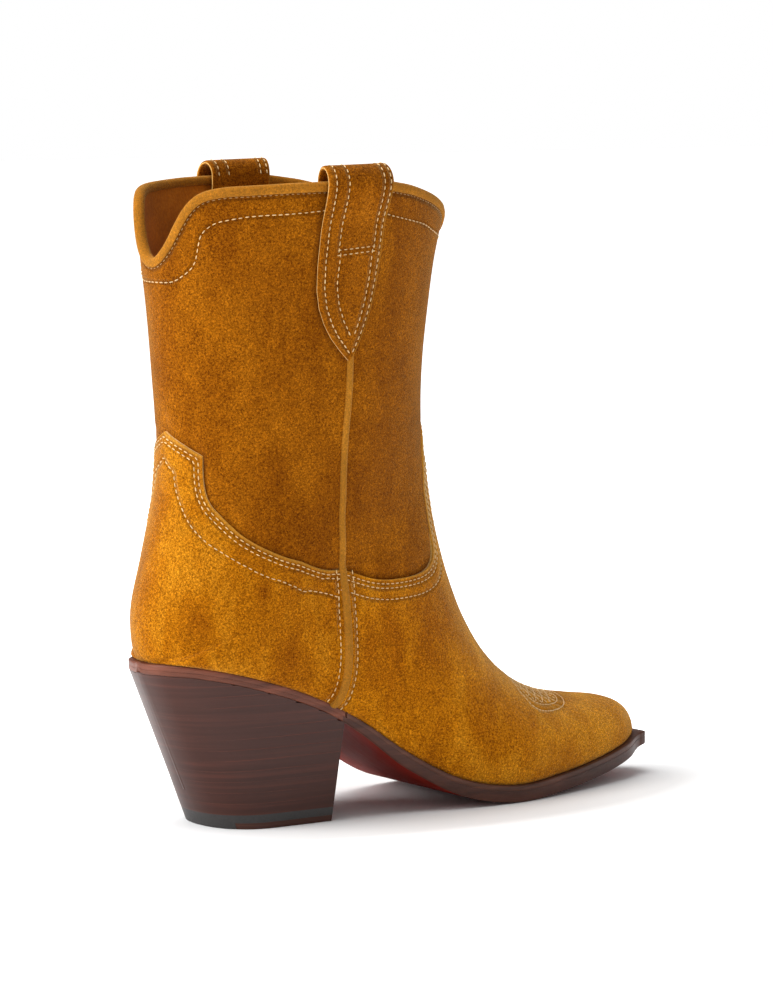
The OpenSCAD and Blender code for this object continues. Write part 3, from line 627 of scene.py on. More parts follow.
# --------------------------------------------------------------------------- meshes
class Seams:
    """Lines on the leather, kept so that it can dent beside them and take painted shade beside them."""

    def __init__(self) -> None:
        """Starts with no rows."""
        self.points: list[np.ndarray] = []

    def add(self, line: np.ndarray) -> None:
        """Adds one row, in metres."""
        step = np.linalg.norm(np.diff(line, axis=0), axis=1)
        s = np.concatenate([[0], np.cumsum(step)])
        k = np.arange(0, s[-1], 0.0006)
        self.points.append(np.column_stack([np.interp(k, s, line[:, i]) for i in range(3)]))

    def distance(self, points: np.ndarray) -> np.ndarray:
        """Millimetres from each point to the nearest row."""
        if not self.points:
            return np.full(len(points), 99.0)
        rows = np.concatenate(self.points)
        tree = KDTree(len(rows))
        for i, p in enumerate(rows):
            tree.insert(p, i)
        tree.balance()
        return np.array([tree.find(p)[2] for p in points]) / MM


SEAMS = Seams()
PAINTED_SHADES = Seams()


def new_object(name: str, verts: np.ndarray, faces: Sequence[Sequence[int]], mats: Sequence[bpy.types.Material],
               index: Sequence[int] | None = None) -> bpy.types.Object:
    """Makes a mesh object at the origin.

    Args:
        name: Piece name.
        verts: Points in metres.
        faces: Vertex numbers of each face.
        mats: Materials.
        index: Material number of each face, or None.

    Returns:
        The object, shaded smooth.
    """
    mesh = bpy.data.meshes.new(name)
    mesh.from_pydata(np.asarray(verts).tolist(), [], [list(f) for f in faces])
    for m in mats:
        mesh.materials.append(m)
    if index is not None:
        mesh.polygons.foreach_set("material_index", np.asarray(index, dtype=np.int32))
    mesh.polygons.foreach_set("use_smooth", np.ones(len(mesh.polygons), dtype=bool))
    mesh.update()
    piece = bpy.data.objects.new(name, mesh)
    bpy.context.scene.collection.objects.link(piece)
    return piece


def crisp(piece: bpy.types.Object, degrees: float = 38.0) -> None:
    """Keeps the shading of edges sharper than an angle apart."""
    piece.data.set_sharp_from_angle(angle=math.radians(degrees))


def store(piece: bpy.types.Object, name: str, values: np.ndarray) -> None:
    """Stores a number on each vertex for the material to read."""
    piece.data.attributes.new(name, "FLOAT", "POINT").data.foreach_set("value", np.asarray(values, dtype=np.float32))


def sheet(name: str, outer: Grid, inner: Grid, mats: Sequence[bpy.types.Material], rim_mat: int = 1,
          inner_mat: int = 2, dents: bool = True, painted_shades: bool = False) -> bpy.types.Object:
    """A piece of leather between an outer and an inner grid of points.

    Args:
        name: Piece name.
        outer: Outer points, in metres, as rows and columns.
        inner: Inner points of the same shape.
        mats: Outer, cut edge and inner materials.
        rim_mat: Number of the cut edge's material.
        inner_mat: Number of the inner face's material.
        dents: Whether the distance to the stitch rows is stored.
        painted_shades: Whether painted shade darkens it beside the edges that lie on it.

    Returns:
        The object.
    """
    nu, nv = outer.shape[:2]
    m = nu * nv
    verts = np.concatenate([outer.reshape(-1, 3), inner.reshape(-1, 3)])
    i, j = np.meshgrid(np.arange(nu - 1), np.arange(nv - 1), indexing="ij")
    a = (i * nv + j).ravel()
    quads = np.stack([a, a + nv, a + nv + 1, a + 1], 1)
    mid = len(quads) // 2
    q = verts[quads[mid]]
    normal = np.cross(q[1] - q[0], q[3] - q[0])
    if np.dot(normal, verts[quads[mid][0]] - verts[quads[mid][0] + m]) < 0:
        quads = quads[:, ::-1]
        turned = True
    else:
        turned = False
    loop = np.concatenate([np.arange(nu) * nv, (nu - 1) * nv + np.arange(1, nv),
                           (np.arange(nu - 1)[::-1]) * nv + nv - 1, np.arange(1, nv - 1)[::-1]])
    nxt = np.roll(loop, -1)
    rim = np.stack([loop, loop + m, nxt + m, nxt], 1)
    if turned:
        rim = rim[:, ::-1]
    faces = np.concatenate([quads, quads[:, ::-1] + m, rim])
    index = np.concatenate([np.zeros(len(quads), int), np.full(len(quads), inner_mat), np.full(len(rim), rim_mat)])
    piece = new_object(name, verts, faces.tolist(), mats, index)
    if dents:
        store(piece, "seam", np.concatenate([SEAMS.distance(verts[:m]), np.full(m, 99.0)]))
        step_v = np.linalg.norm(np.diff(outer, axis=1), axis=-1) / MM
        top = np.concatenate([np.zeros((nu, 1)), np.cumsum(step_v[:, ::-1], 1)], 1)[:, ::-1]
        store(piece, "rim", np.concatenate([top.ravel(), np.full(m, 99.0)]))
    if painted_shades:
        # Painted shade beside the edges lying on this piece, fading out over 2.6 mm.
        near = np.clip(1 - PAINTED_SHADES.distance(verts[:m]) / 2.6, 0, 1) ** 1.4
        store(piece, "painted_shade", np.concatenate([near, np.zeros(m)]))
    return piece


def sweep(name: str, sections: Grid, mats: Sequence[bpy.types.Material], closed: bool = False,
          face_mat: Callable[[int, int], int] | None = None) -> bpy.types.Object:
    """A bar swept through closed cross sections.

    Args:
        name: Piece name.
        sections: Points, one row for each section.
        mats: Materials.
        closed: Whether the last section joins the first.
        face_mat: Material number from (section, side), or None.

    Returns:
        The object, with its normals outwards.
    """
    n, k = sections.shape[:2]
    faces: list[list[int]] = []
    index: list[int] = []
    for i in range(n if closed else n - 1):
        for j in range(k):
            a, b = i * k, ((i + 1) % n) * k
            faces.append([a + j, b + j, b + (j + 1) % k, a + (j + 1) % k])
            index.append(face_mat(i, j) if face_mat else 0)
    if not closed:
        faces.append(list(range(k)))
        faces.append([(n - 1) * k + j for j in reversed(range(k))])
        index += [face_mat(0, 0) if face_mat else 0] * 2
    piece = new_object(name, sections.reshape(-1, 3), faces, mats, index)
    outwards(piece)
    return piece


def outwards(piece: bpy.types.Object) -> None:
    """Turns every face of a closed piece to point outwards."""
    bm = bmesh.new()
    bm.from_mesh(piece.data)
    bmesh.ops.recalc_face_normals(bm, faces=bm.faces)
    bm.to_mesh(piece.data)
    bm.free()


def settle(piece: bpy.types.Object, slot: str, *nodes: str) -> None:
    """Puts a finished piece on the boot's body, in place of its CAD nodes, and logs it."""
    crisp(piece)
    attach(piece, "root")
    if nodes:
        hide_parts(*nodes)
    LOG.info("%s: %d faces", piece.name, len(piece.data.polygons))


# --------------------------------------------------------------------------- stitches
def chain(points: np.ndarray, times: int = 2) -> np.ndarray:
    """A bent line with its corners cut smooth, ends kept."""
    return rounded(points, times)[:, :2]


def spread(last: Last, line: np.ndarray, step: float = 1.0) -> np.ndarray:
    """A (station, girth share) line with a point every step millimetres.

    Args:
        last: The surface it lies on.
        line: Its points.
        step: Spacing.

    Returns:
        The finer line.
    """
    k = np.linspace(0, len(line) - 1, len(line) * 24)
    t, g = np.interp(k, np.arange(len(line)), line[:, 0]), np.interp(k, np.arange(len(line)), line[:, 1])
    s = np.concatenate([[0], np.cumsum(np.linalg.norm(np.diff(last.skin(t, g), axis=0), axis=1))])
    at = np.linspace(0, s[-1], max(3, int(s[-1] / step) + 1))
    return np.column_stack([np.interp(at, s, t), np.interp(at, s, g)])


def inset(last: Last, line: np.ndarray, distance: float, inside: tuple[float, float]) -> np.ndarray:
    """A line drawn on the surface at a distance from another.

    Args:
        last: The surface.
        line: Edge, as (station, girth share).
        distance: Millimetres from it.
        inside: A point on the side where the new line goes.

    Returns:
        The new line, without the loops that form at its corners.
    """
    edge = spread(last, line)
    p = last.skin(edge[:, 0], edge[:, 1])
    run = np.gradient(p, axis=0)
    run /= np.linalg.norm(run, axis=1, keepdims=True)
    target = last.skin(*inside)
    near = int(np.argmin(np.linalg.norm(p - target, axis=1)))
    across = np.cross(last.outward(edge[:, 0], edge[:, 1]), run)
    turn = -1.0 if np.dot(across[near], target - p[near]) < 0 else 1.0
    moved = edge.copy()
    steps = 4
    for _ in range(steps):
        t, g = moved[:, 0], moved[:, 1]
        pt = (last.skin(t + 0.01, g) - last.skin(t - 0.01, g)) / 0.02
        pg = (last.skin(t, g + 0.002) - last.skin(t, g - 0.002)) / 0.004
        across = np.cross(last.outward(t, g), run) * turn
        across /= np.linalg.norm(across, axis=1, keepdims=True)
        a, b, c = (pt * pt).sum(1), (pt * pg).sum(1), (pg * pg).sum(1)
        u, v = (pt * across).sum(1), (pg * across).sum(1)
        det = a * c - b * b
        moved = moved + distance / steps * np.column_stack([(c * u - b * v) / det, (a * v - b * u) / det])
    q = last.skin(moved[:, 0], moved[:, 1])
    gap = np.min(np.linalg.norm(q[:, None] - p[None], axis=2), axis=1)
    kept = moved[gap > distance * 0.95]
    for _ in range(2):
        kept[1:-1] = (kept[:-2] + 2 * kept[1:-1] + kept[2:]) / 4
    return kept


@dataclass
class StitchRuns:
    """Rows of sewn thread: paths first, then one Geometry Nodes tree lays the stitches."""

    name: str
    slot: str
    pitch_mm: float = 2.7
    length_mm: float = 1.95
    width_mm: float = 0.5
    seed: int = 7
    paths: list[tuple[np.ndarray, np.ndarray]] = field(default_factory=list)

    def add(self, points: np.ndarray, normals: np.ndarray) -> None:
        """Adds one row.

        Args:
            points: Points in metres.
            normals: Direction away from the leather at each.
        """
        self.paths.append((points, normals))
        SEAMS.add(points)

    def on_last(self, last: Last, line: np.ndarray, height: float = PROUD, rise: float = 0.10) -> None:
        """Adds a row that lies on the upper.

        Args:
            last: The surface.
            line: Its (station, girth share) points.
            height: Height of the leather over the last.
            rise: How far the thread's middle stands over the leather.
        """
        fine = spread(last, line, 0.8)
        t, g = fine[:, 0], fine[:, 1]
        self.add(last.placed(last.raised(t, g, height + rise)), last.outward(t, g))

    def tree(self) -> bpy.types.GeometryNodeTree:
        """The node tree: path to curve, even spacing, a stitch at each point, realised and dressed."""
        group = bpy.data.node_groups.new("stitch run", "GeometryNodeTree")
        face = group.interface
        face.new_socket("Paths", in_out="INPUT", socket_type="NodeSocketGeometry")
        for label, value in (("Pitch", self.pitch_mm), ("Length", self.length_mm), ("Width", self.width_mm)):
            s = face.new_socket(label, in_out="INPUT", socket_type="NodeSocketFloat")
            s.default_value = value * MM
        seed = face.new_socket("Seed", in_out="INPUT", socket_type="NodeSocketInt")
        seed.default_value = self.seed
        face.new_socket("Thread", in_out="INPUT", socket_type="NodeSocketMaterial")
        face.new_socket("Stitches", in_out="OUTPUT", socket_type="NodeSocketGeometry")
        add, link = group.nodes.new, group.links.new
        given, out = add("NodeGroupInput"), add("NodeGroupOutput")
        curve, even = add("GeometryNodeMeshToCurve"), add("GeometryNodeResampleCurve")
        even.mode = "LENGTH"
        link(given.outputs["Paths"], curve.inputs["Mesh"])
        link(curve.outputs["Curve"], even.inputs["Curve"])
        link(given.outputs["Pitch"], even.inputs["Length"])
        tangent, normal = add("GeometryNodeInputTangent"), add("GeometryNodeInputNamedAttribute")
        normal.data_type = "FLOAT_VECTOR"
        normal.inputs["Name"].default_value = "nrm"
        first, second = add("FunctionNodeAlignRotationToVector"), add("FunctionNodeAlignRotationToVector")
        first.axis, second.axis, second.pivot_axis = "X", "Z", "X"
        link(tangent.outputs["Tangent"], first.inputs["Vector"])
        link(first.outputs["Rotation"], second.inputs["Rotation"])
        link(normal.outputs["Attribute"], second.inputs["Vector"])
        ball = add("GeometryNodeMeshUVSphere")
        ball.inputs["Segments"].default_value = 6
        ball.inputs["Rings"].default_value = 5
        ball.inputs["Radius"].default_value = 0.5
        laid = add("GeometryNodeInstanceOnPoints")
        size, vary = add("ShaderNodeCombineXYZ"), add("FunctionNodeRandomValue")
        vary.data_type = "FLOAT_VECTOR"
        vary.inputs["Min"].default_value = (0.88, 0.85, 0.8)
        vary.inputs["Max"].default_value = (1.08, 1.12, 1.05)
        scaled = add("ShaderNodeVectorMath")
        scaled.operation = "MULTIPLY"
        link(given.outputs["Length"], size.inputs["X"])
        link(given.outputs["Width"], size.inputs["Y"])
        link(given.outputs["Width"], size.inputs["Z"])
        link(given.outputs["Seed"], vary.inputs["Seed"])
        link(size.outputs[0], scaled.inputs[0])
        link(vary.outputs[0], scaled.inputs[1])
        link(even.outputs["Curve"], laid.inputs["Points"])
        link(ball.outputs["Mesh"], laid.inputs["Instance"])
        link(second.outputs["Rotation"], laid.inputs["Rotation"])
        link(scaled.outputs[0], laid.inputs["Scale"])
        real, smooth, dress = add("GeometryNodeRealizeInstances"), add("GeometryNodeSetShadeSmooth"), add(
            "GeometryNodeSetMaterial")
        link(laid.outputs["Instances"], real.inputs["Geometry"])
        link(real.outputs["Geometry"], smooth.inputs["Geometry"])
        link(smooth.outputs["Geometry"], dress.inputs["Geometry"])
        link(given.outputs["Thread"], dress.inputs["Material"])
        link(dress.outputs["Geometry"], out.inputs["Stitches"])
        return group

    def sew(self, thread: bpy.types.Material) -> bpy.types.Object:
        """Lays the stitches and turns them into one plain mesh.

        Args:
            thread: Material of the thread.

        Returns:
            The finished piece.
        """
        verts = np.concatenate([p for p, _ in self.paths])
        normals = np.concatenate([n for _, n in self.paths])
        edges, start = [], 0
        for p, _ in self.paths:
            edges += [(start + i, start + i + 1) for i in range(len(p) - 1)]
            start += len(p)
        mesh = bpy.data.meshes.new(self.name + " path")
        mesh.from_pydata(verts.tolist(), edges, [])
        upright = mesh.attributes.new("nrm", "FLOAT_VECTOR", "POINT")
        upright.data.foreach_set("vector", normals.astype(np.float32).ravel())
        holder = bpy.data.objects.new(self.name + " path", mesh)
        bpy.context.scene.collection.objects.link(holder)
        group = self.tree()
        mod = holder.modifiers.new("stitches", "NODES")
        mod.node_group = group
        ids = {i.name: i.identifier for i in group.interface.items_tree if i.in_out == "INPUT"}
        mod[ids["Pitch"]] = self.pitch_mm * MM
        mod[ids["Length"]] = self.length_mm * MM
        mod[ids["Width"]] = self.width_mm * MM
        mod[ids["Seed"]] = self.seed
        mod[ids["Thread"]] = thread
        done = bpy.data.meshes.new_from_object(holder.evaluated_get(bpy.context.evaluated_depsgraph_get()))
        done.name = self.name
        bpy.data.objects.remove(holder)
        if not done.materials:
            done.materials.append(thread)
        piece = bpy.data.objects.new(self.name, done)
        bpy.context.scene.collection.objects.link(piece)
        settle(piece, self.slot)
        return piece


# --------------------------------------------------------------------------- upper
VAMP_COLUMNS = (0, 0.05, 0.13, 0.22, 0.32, 0.38, 0.41, 0.432, 0.447, 0.453, 0.464, 0.477, 0.49, 0.52, 0.55, 0.585,
                0.62, 0.655, 0.69, 0.722, 0.755, 0.772, 0.79, 0.8, 0.81, 0.83, 0.85, 0.885, 0.92, 0.96, 1)
VAMP_RIM = ((0.45, 12.87), (0.464, 11.8), (0.49, 11.1), (0.55, 10.6), (0.62, 10.25), (0.69, 10.15), (0.755, 10.4),
            (0.79, 12.0), (0.81, 14.7), (0.85, 16.5), (0.92, 17.0), (1, 17.1))
COUNTER_ROW = ((18.72, 0), (18.49, 0.039), (18.17, 0.05), (17.68, 0.09), (17.3, 0.135), (16.85, 0.191), (16.15, 0.26),
               (15.07, 0.332), (13.7, 0.366), (12.4, 0.379), (11.75, 0.388))
COLLAR_ROW = ((21.45, 0), (21.45, 0.03), (21.45, 0.06), (21.6, 0.095), (21.75, 0.11), (21.95, 0.115), (22.15, 0.12),
              (22.25, 0.125), (22.4, 0.145), (22.45, 0.17), (22.5, 0.205), (22.5, 0.265), (22.55, 0.33), (22.5, 0.40),
              (22.35, 0.45), (22.2, 0.53), (22.05, 0.615), (21.85, 0.68), (21.62, 0.8), (21.45, 0.9), (21.4, 1.0))
EDGE_ROUND = (0.0, 0.12, 0.35, 0.7, 1.0)


def with_rim(values: Sequence[float], near: float) -> np.ndarray:
    """Places from 0 to 1 with extra ones close to 1, for a rounded edge."""
    inner = np.array(values)[np.array(values) < 1 - near * 1.4]
    return np.concatenate([inner, 1 - near * np.array(EDGE_ROUND)[::-1]])


def rim_drop(count: int, depth: float) -> np.ndarray:
    """Depth below the face of each place across a panel, rounded at the last few."""
    d = np.zeros(count)
    k = np.array(EDGE_ROUND)
    d[-len(k):] = (depth * (1 - np.sqrt(np.maximum(0, 1 - (1 - k) ** 2))))[::-1]
    return d


@dataclass
class Upper:
    """Vamp, counter, shaft, collar, straps and linings, all shaped on the last."""

    last: Last
    paints: dict[str, bpy.types.Material]
    strap_width: float = 25.0
    strap_thick: float = 1.9
    strap_rise: float = 7.4
    counter_line: np.ndarray = field(default_factory=lambda: rounded(COUNTER_TOP, 2, corners=(3,)))
    vamp_line: np.ndarray = field(default_factory=lambda: rounded(VAMP_RIM, 2))

    def hides(self, name: str = "suede") -> list[bpy.types.Material]:
        """Face, cut edge and back of a piece of suede."""
        return [self.paints[name], self.paints["raw"], self.paints["lining"]]

    def counter_grid(self, d: float, cols: int = 110, rounded_edge: bool = False) -> Grid:
        """Points of the counter, over the back from one side seam to the other."""
        s = 0.997 * np.abs(np.arange(-cols, cols + 1)) / cols
        sign = np.where(np.arange(-cols, cols + 1) < 0, -1.0, 1.0)
        v = with_rim(np.linspace(0, 1, 84), 0.006)
        t0, g0 = along(COUNTER_FOOT, s)
        t1, g1 = at_param(self.counter_line, s)
        climb = v[None] + (rise(v) - v)[None] * s[:, None] ** 2
        t = t0[:, None] + (t1 - t0)[:, None] * climb
        g = np.maximum(g0[:, None] + (g1 - g0)[:, None] * v[None], 1e-6) * sign[:, None]
        drop = rim_drop(len(v), 0.6) if rounded_edge else np.zeros(len(v))
        return self.last.placed(self.last.raised(t, g, d - drop[None]))

    def vamp_end(self, g: Grid) -> Grid:
        """Station of the seam or top line of the vamp at a girth share up to 1."""
        low = T_SIDE + (T_CROSS - T_SIDE) * rise(np.clip(g / SEAM_GIRTH, 0, 1)) - 0.03
        return np.where(g < SEAM_GIRTH, low, np.interp(g, self.vamp_line[:, 0], self.vamp_line[:, 1]))

    def vamp_grid(self, d: float, rounded_edge: bool = False) -> Grid:
        """Points of the vamp, from sole edge to sole edge over the front."""
        base = np.array(VAMP_COLUMNS)
        g = np.concatenate([np.linspace(a, b, 5)[:-1] for a, b in zip(base[:-1], base[1:])] + [[1.0]])
        end = self.vamp_end(g)
        v = with_rim(np.linspace(0, 1, 96), 0.004)
        low = 0.93 * np.minimum(end, 10.1)[:, None]
        t = np.where(v[None] < 0.55, low * (v[None] / 0.55) ** 1.25,
                     low + (end[:, None] - low) * (v[None] - 0.55) / 0.45)
        g2 = np.broadcast_to(g[:, None], t.shape)
        t_all = np.concatenate([t, t[::-1][1:]])
        g_all = np.concatenate([g2, 2 - g2[::-1][1:]])
        drop = rim_drop(len(v), 0.6) if rounded_edge else np.zeros(len(v))
        return self.last.placed(self.last.raised(t_all, g_all, d - drop[None]))

    def sink(self, t: Grid, line: Sequence[Sequence[float]], share: Grid) -> Grid:
        """How far the shaft dips below its face to run under the counter or the vamp."""
        return (LEATHER - PROUD + GAP) * ease(1 + (look(line, share) - t) / 0.45)

    def shaft_grid(self, front: bool, d: float, cols: int = 70, rows: int = 110) -> Grid:
        """Points of the back or front of the shaft.

        Args:
            front: True for the front panel.
            d: Height over the last.
            cols: Columns on each side of the middle.
            rows: Rows from the hidden lower edge to the collar.

        Returns:
            Points in metres.
        """
        i = np.arange(-cols, cols + 1)
        v = np.linspace(0, 1, rows)[None]
        if front:
            a = 1 - 0.997 * np.abs(i) / cols
            low, high = look(SHAFT_FRONT_LOW, a), look(COLLAR_FRONT, a) - 0.05
        else:
            a = 0.997 * np.abs(i) / cols
            low, high = look(SHAFT_BACK_LOW, a), look(COLLAR_BACK, a) - 0.05
        t = low[:, None] + (high - low)[:, None] * v
        share = np.broadcast_to(a[:, None], t.shape)
        gs = seam_share(t)
        if front:
            g = gs + share * (1 - gs)
            g = np.where((i > 0)[:, None], 2 - g, g)
            depth = self.sink(t, VAMP_LINE, share)
        else:
            g = np.maximum(share * gs, 1e-6) * np.where(i > 0, -1.0, 1.0)[:, None]
            depth = self.sink(t, COUNTER_LINE, share)
        return self.last.placed(self.last.raised(t, g, d - depth))

    def lining_grid(self, front: bool, d: float) -> Grid:
        """Points of the vamp's or the heel's lining."""
        drop = 0.06
        n = 40
        i = np.arange(-n, n + 1)
        v = np.linspace(0.02 if front else 0.0, 1, 40)[None]
        if front:
            s = 1 - 0.997 * np.abs(i) / n
            t1 = look(SHAFT_FRONT_LOW, s) - drop
            gs = seam_share(t1)
            g1 = gs + s * (1 - gs)
            t0, g0 = along(VAMP_FOOT, s)
            climb = v + (rise(v) - v) * (1 - s)[:, None] ** 2
        else:
            s = 0.997 * np.abs(i) / n
            t1 = look(SHAFT_BACK_LOW, s) - drop
            g1 = s * seam_share(t1)
            t0, g0 = along(COUNTER_FOOT, s)
            climb = v + (rise(v) - v) * s[:, None] ** 2
        t = t0[:, None] + (t1 - t0)[:, None] * climb
        g = g0[:, None] + (g1 - g0)[:, None] * v
        if front:
            g = np.where((i > 0)[:, None], 2 - g, g)
        else:
            g = np.maximum(g, 1e-6) * np.where(i < 0, -1.0, 1.0)[:, None]
        return self.last.placed(self.last.raised(t, g, d))

    def plan_stitches(self) -> list[StitchRuns]:
        """Draws every row on the upper before the leather is made, so the leather can dent beside it."""
        last = self.last
        foot = StitchRuns("stitches_foot", "suede_binding")
        edge = self.counter_line[:, :2]
        whole = np.concatenate([edge[::-1] * (1, 1), edge[1:] * (1, -1)])
        for gap in (1.8, 3.6):
            foot.on_last(last, inset(last, whole, gap, (16.5, 0.05)))
        row = rounded(COUNTER_ROW, 1, corners=(1,))[:, :2]
        foot.on_last(last, np.concatenate([row[::-1], row[1:] * (1, -1)]))
        rim = self.vamp_line[:, [1, 0]]
        whole = np.concatenate([rim, (rim * (1, -1) + (0, 2))[::-1][1:]])
        for gap in (1.8, 3.6, 8.2):
            foot.on_last(last, inset(last, whole, gap, (12.5, 1.0)))
        for side in Side:
            for way in (-1, 1):
                foot.add(*self.beside_seam(side, way * 4.1, 0.12, 1.0 if way < 0 else 0.985))
        collar = StitchRuns("stitches_collar", "suede_binding")
        row = chain(np.array(COLLAR_ROW), 1)
        loop = np.concatenate([row, (row * (1, -1) + (0, 2))[::-1][1:]])
        collar.on_last(last, loop[(loop[:, 1] <= 1)], 0.0)
        collar.on_last(last, (row * (1, -1) + (0, 2)), 0.0)
        toe = StitchRuns("stitches_toe", "suede_binding", pitch_mm=2.0, length_mm=1.8, width_mm=0.55)
        for line in self.toe_figure():
            toe.on_last(last, line, PROUD, 0.08)
        straps = StitchRuns("stitches_straps", "suede_binding")
        for side in Side:
            for points, normals in self.strap_rows(side):
                straps.add(points, normals)
        return [foot, collar, toe, straps]

    def beside_seam(self, side: Side, away: float, low: float, high: float) -> tuple[np.ndarray, np.ndarray]:
        """A row beside the side seam.

        Args:
            side: Which side of the foot.
            away: Distance from the seam, positive towards the front.
            low: Start of the row as a share of the foot part of the seam.
            high: End of it.

        Returns:
            Points in metres and their normals.
        """
        f = np.linspace(low, high, 80)
        t, g = T_SIDE + (T_CROSS - T_SIDE) * rise(f), SEAM_GIRTH * f
        p = self.last.skin(t, g)
        up = self.last.outward(t, g)
        run = np.gradient(p, axis=0)
        across = np.cross(up, run)
        across /= np.linalg.norm(across, axis=1, keepdims=True)
        if across[40, 0] < 0:
            across = -across
        at = p + across * away + up * (PROUD + 0.1)
        if side is Side.INNER:
            at = np.column_stack([at[:, 0], 2 * self.last.swing(at[:, 0]) - at[:, 1], at[:, 2]])
            up = up * (1, -1, 1)
        return self.last.placed(at), up

    def toe_figure(self) -> list[np.ndarray]:
        """Lines of the sewn figure over the toes: a double back arch, a lens and its lattice."""
        half = np.array(((6.42, 1.0), (6.34, 0.9), (6.22, 0.78), (6.0, 0.655), (5.72, 0.615), (5.35, 0.63),
                         (5.02, 0.67),
                         (4.8, 0.72), (4.66, 0.8), (4.6, 0.9), (4.58, 1.0)))
        lines = []
        for grow in (1.0, 0.86):
            ring = (half - (5.55, 1.0)) * (grow, grow) + (5.55, 1.0)
            ring = chain(ring, 2)
            lines.append(np.concatenate([ring, (ring * (1, -1) + (0, 2))[::-1][1:]]))
        inner = chain((half - (5.55, 1.0)) * (0.8, 0.8) + (5.55, 1.0), 2)
        outline = np.concatenate([inner, (inner * (1, -1) + (0, 2))[::-1][1:-1]])
        for slope in (-1, 1):
            for k in np.arange(-1.6, 1.61, 0.2):
                u = np.linspace(-1, 1, 120)
                t = 5.5 + k + slope * u * 0.8
                g = 1 + u * 0.42
                keep = inside_ring(outline, t, g)
                if keep.sum() > 8:
                    where = np.nonzero(keep)[0]
                    lines.append(np.column_stack([t[where[0]:where[-1] + 1], g[where[0]:where[-1] + 1]]))
        return lines

    def strap_path(self, fine: int = 4) -> np.ndarray:
        """Rows along a strap: station, height of its under and upper face, and lift of each."""
        top, bow = 23.02, 1.6
        under = -LEATHER - LINING - 0.9
        t = np.linspace(19.72, top, 12 * fine + 1)
        base = GAP + 3 * ease((t - 22.1) / 0.9)
        z = np.zeros_like(t)
        rows = [np.column_stack([t, base, base + self.strap_thick, z, z])]
        b1 = GAP + 3 * ease((top - 22.1) / 0.9)
        mid, rad = (b1 + under - bow) / 2, (b1 - under + bow) / 2
        a = np.pi * np.arange(1, 10 * fine) / (10 * fine)
        rows.append(np.column_stack([np.full_like(a, top), mid + rad * np.cos(a),
                                     mid + (rad + self.strap_thick) * np.cos(a),
                                     (self.strap_rise - self.strap_thick) * np.sin(a), self.strap_rise * np.sin(a)]))
        t = np.linspace(top, 21.6, 5 * fine + 1)
        d = under - bow * (1 - ease((top - t) / 0.9))
        z = np.zeros_like(t)
        rows.append(np.column_stack([t, d, d - self.strap_thick, z, z]))
        return np.concatenate(rows)

    def strap_half(self, k: Grid, path: np.ndarray, fine: int = 4) -> Grid:
        """Half width of the strap at a row of its path."""
        tip = ((19.72, 0.03), (19.8, 0.15), (19.95, 0.3), (20.2, 0.53), (20.45, 0.71), (20.75, 0.86), (21.1, 0.95),
               (21.6, 0.99), (23.1, 1))
        t = np.interp(k, np.arange(len(path)), path[:, 0])
        return self.strap_width / 2 * np.where(k <= 12 * fine, look(tip, t), 1.0)

    def strap_point(self, k: Grid, across: Grid, over: Grid, side: Side, path: np.ndarray) -> Grid:
        """Point of a strap in last millimetres.

        Args:
            k: Row of the path, may lie between rows.
            across: Millimetres from its middle.
            over: 0 on its under face to 1 on its upper face.
            side: Which strap.
            path: The strap's path.

        Returns:
            Points.
        """
        n = np.arange(len(path))
        t, lo, hi, zl, zh = (np.interp(k, n, path[:, c]) for c in range(5))
        share = 0.36 + 0.008 * ease((t - 19.7) / 3.3)
        per = np.linalg.norm(self.last.skin(t, share + 0.01) - self.last.skin(t, share - 0.01), axis=-1) / 0.02
        p = self.last.raised(t, share + across / per, lo + (hi - lo) * over)
        p[..., 2] += zl + (zh - zl) * over
        if side is Side.INNER:
            p = np.stack([p[..., 0], 2 * self.last.swing(p[..., 0]) - p[..., 1], p[..., 2]], -1)
        return p

    def strap_rows(self, side: Side) -> list[tuple[np.ndarray, np.ndarray]]:
        """Stitch rows of one strap: outer row, inner lines over the loop, cross bars and the pointed row."""
        path = self.strap_path()
        last_row = 12 * 4 + 10 * 4 - 2
        half = lambda k: self.strap_half(k, path)
        cross = int(np.argmin(np.abs(path[:49, 0] - 21.72)))
        runs: list[tuple[np.ndarray, np.ndarray]] = []
        k = np.linspace(2.6, last_row, 260)
        for sign in (-1, 1):
            runs.append((k, sign * np.maximum(half(k) - 1.9, 0.25)))
            up = np.linspace(cross + 1.0, last_row, 160)
            runs.append((up, sign * np.full_like(up, self.strap_width / 2 - 5.3)))
            down = np.linspace(cross - 0.4, 7.4, 90)
            runs.append((down, sign * np.maximum(np.minimum(half(down) - 5.4, self.strap_width / 2 - 5.9), 0.2)))
        for at in (cross + 1.0, cross - 0.4):
            w = self.strap_width / 2 - 5.5
            runs.append((np.full(30, float(at)), np.linspace(-w, w, 30)))
        out = []
        for kk, mm in runs:
            kk, mm = np.asarray(kk, float), np.asarray(mm, float)
            p = self.strap_point(kk, mm, np.full_like(kk, 1.0), side, path)
            low = self.strap_point(kk, mm, np.full_like(kk, 0.0), side, path)
            n = p - low
            n /= np.linalg.norm(n, axis=1, keepdims=True)
            out.append((self.last.placed(p + n * 0.06), n))
        return out

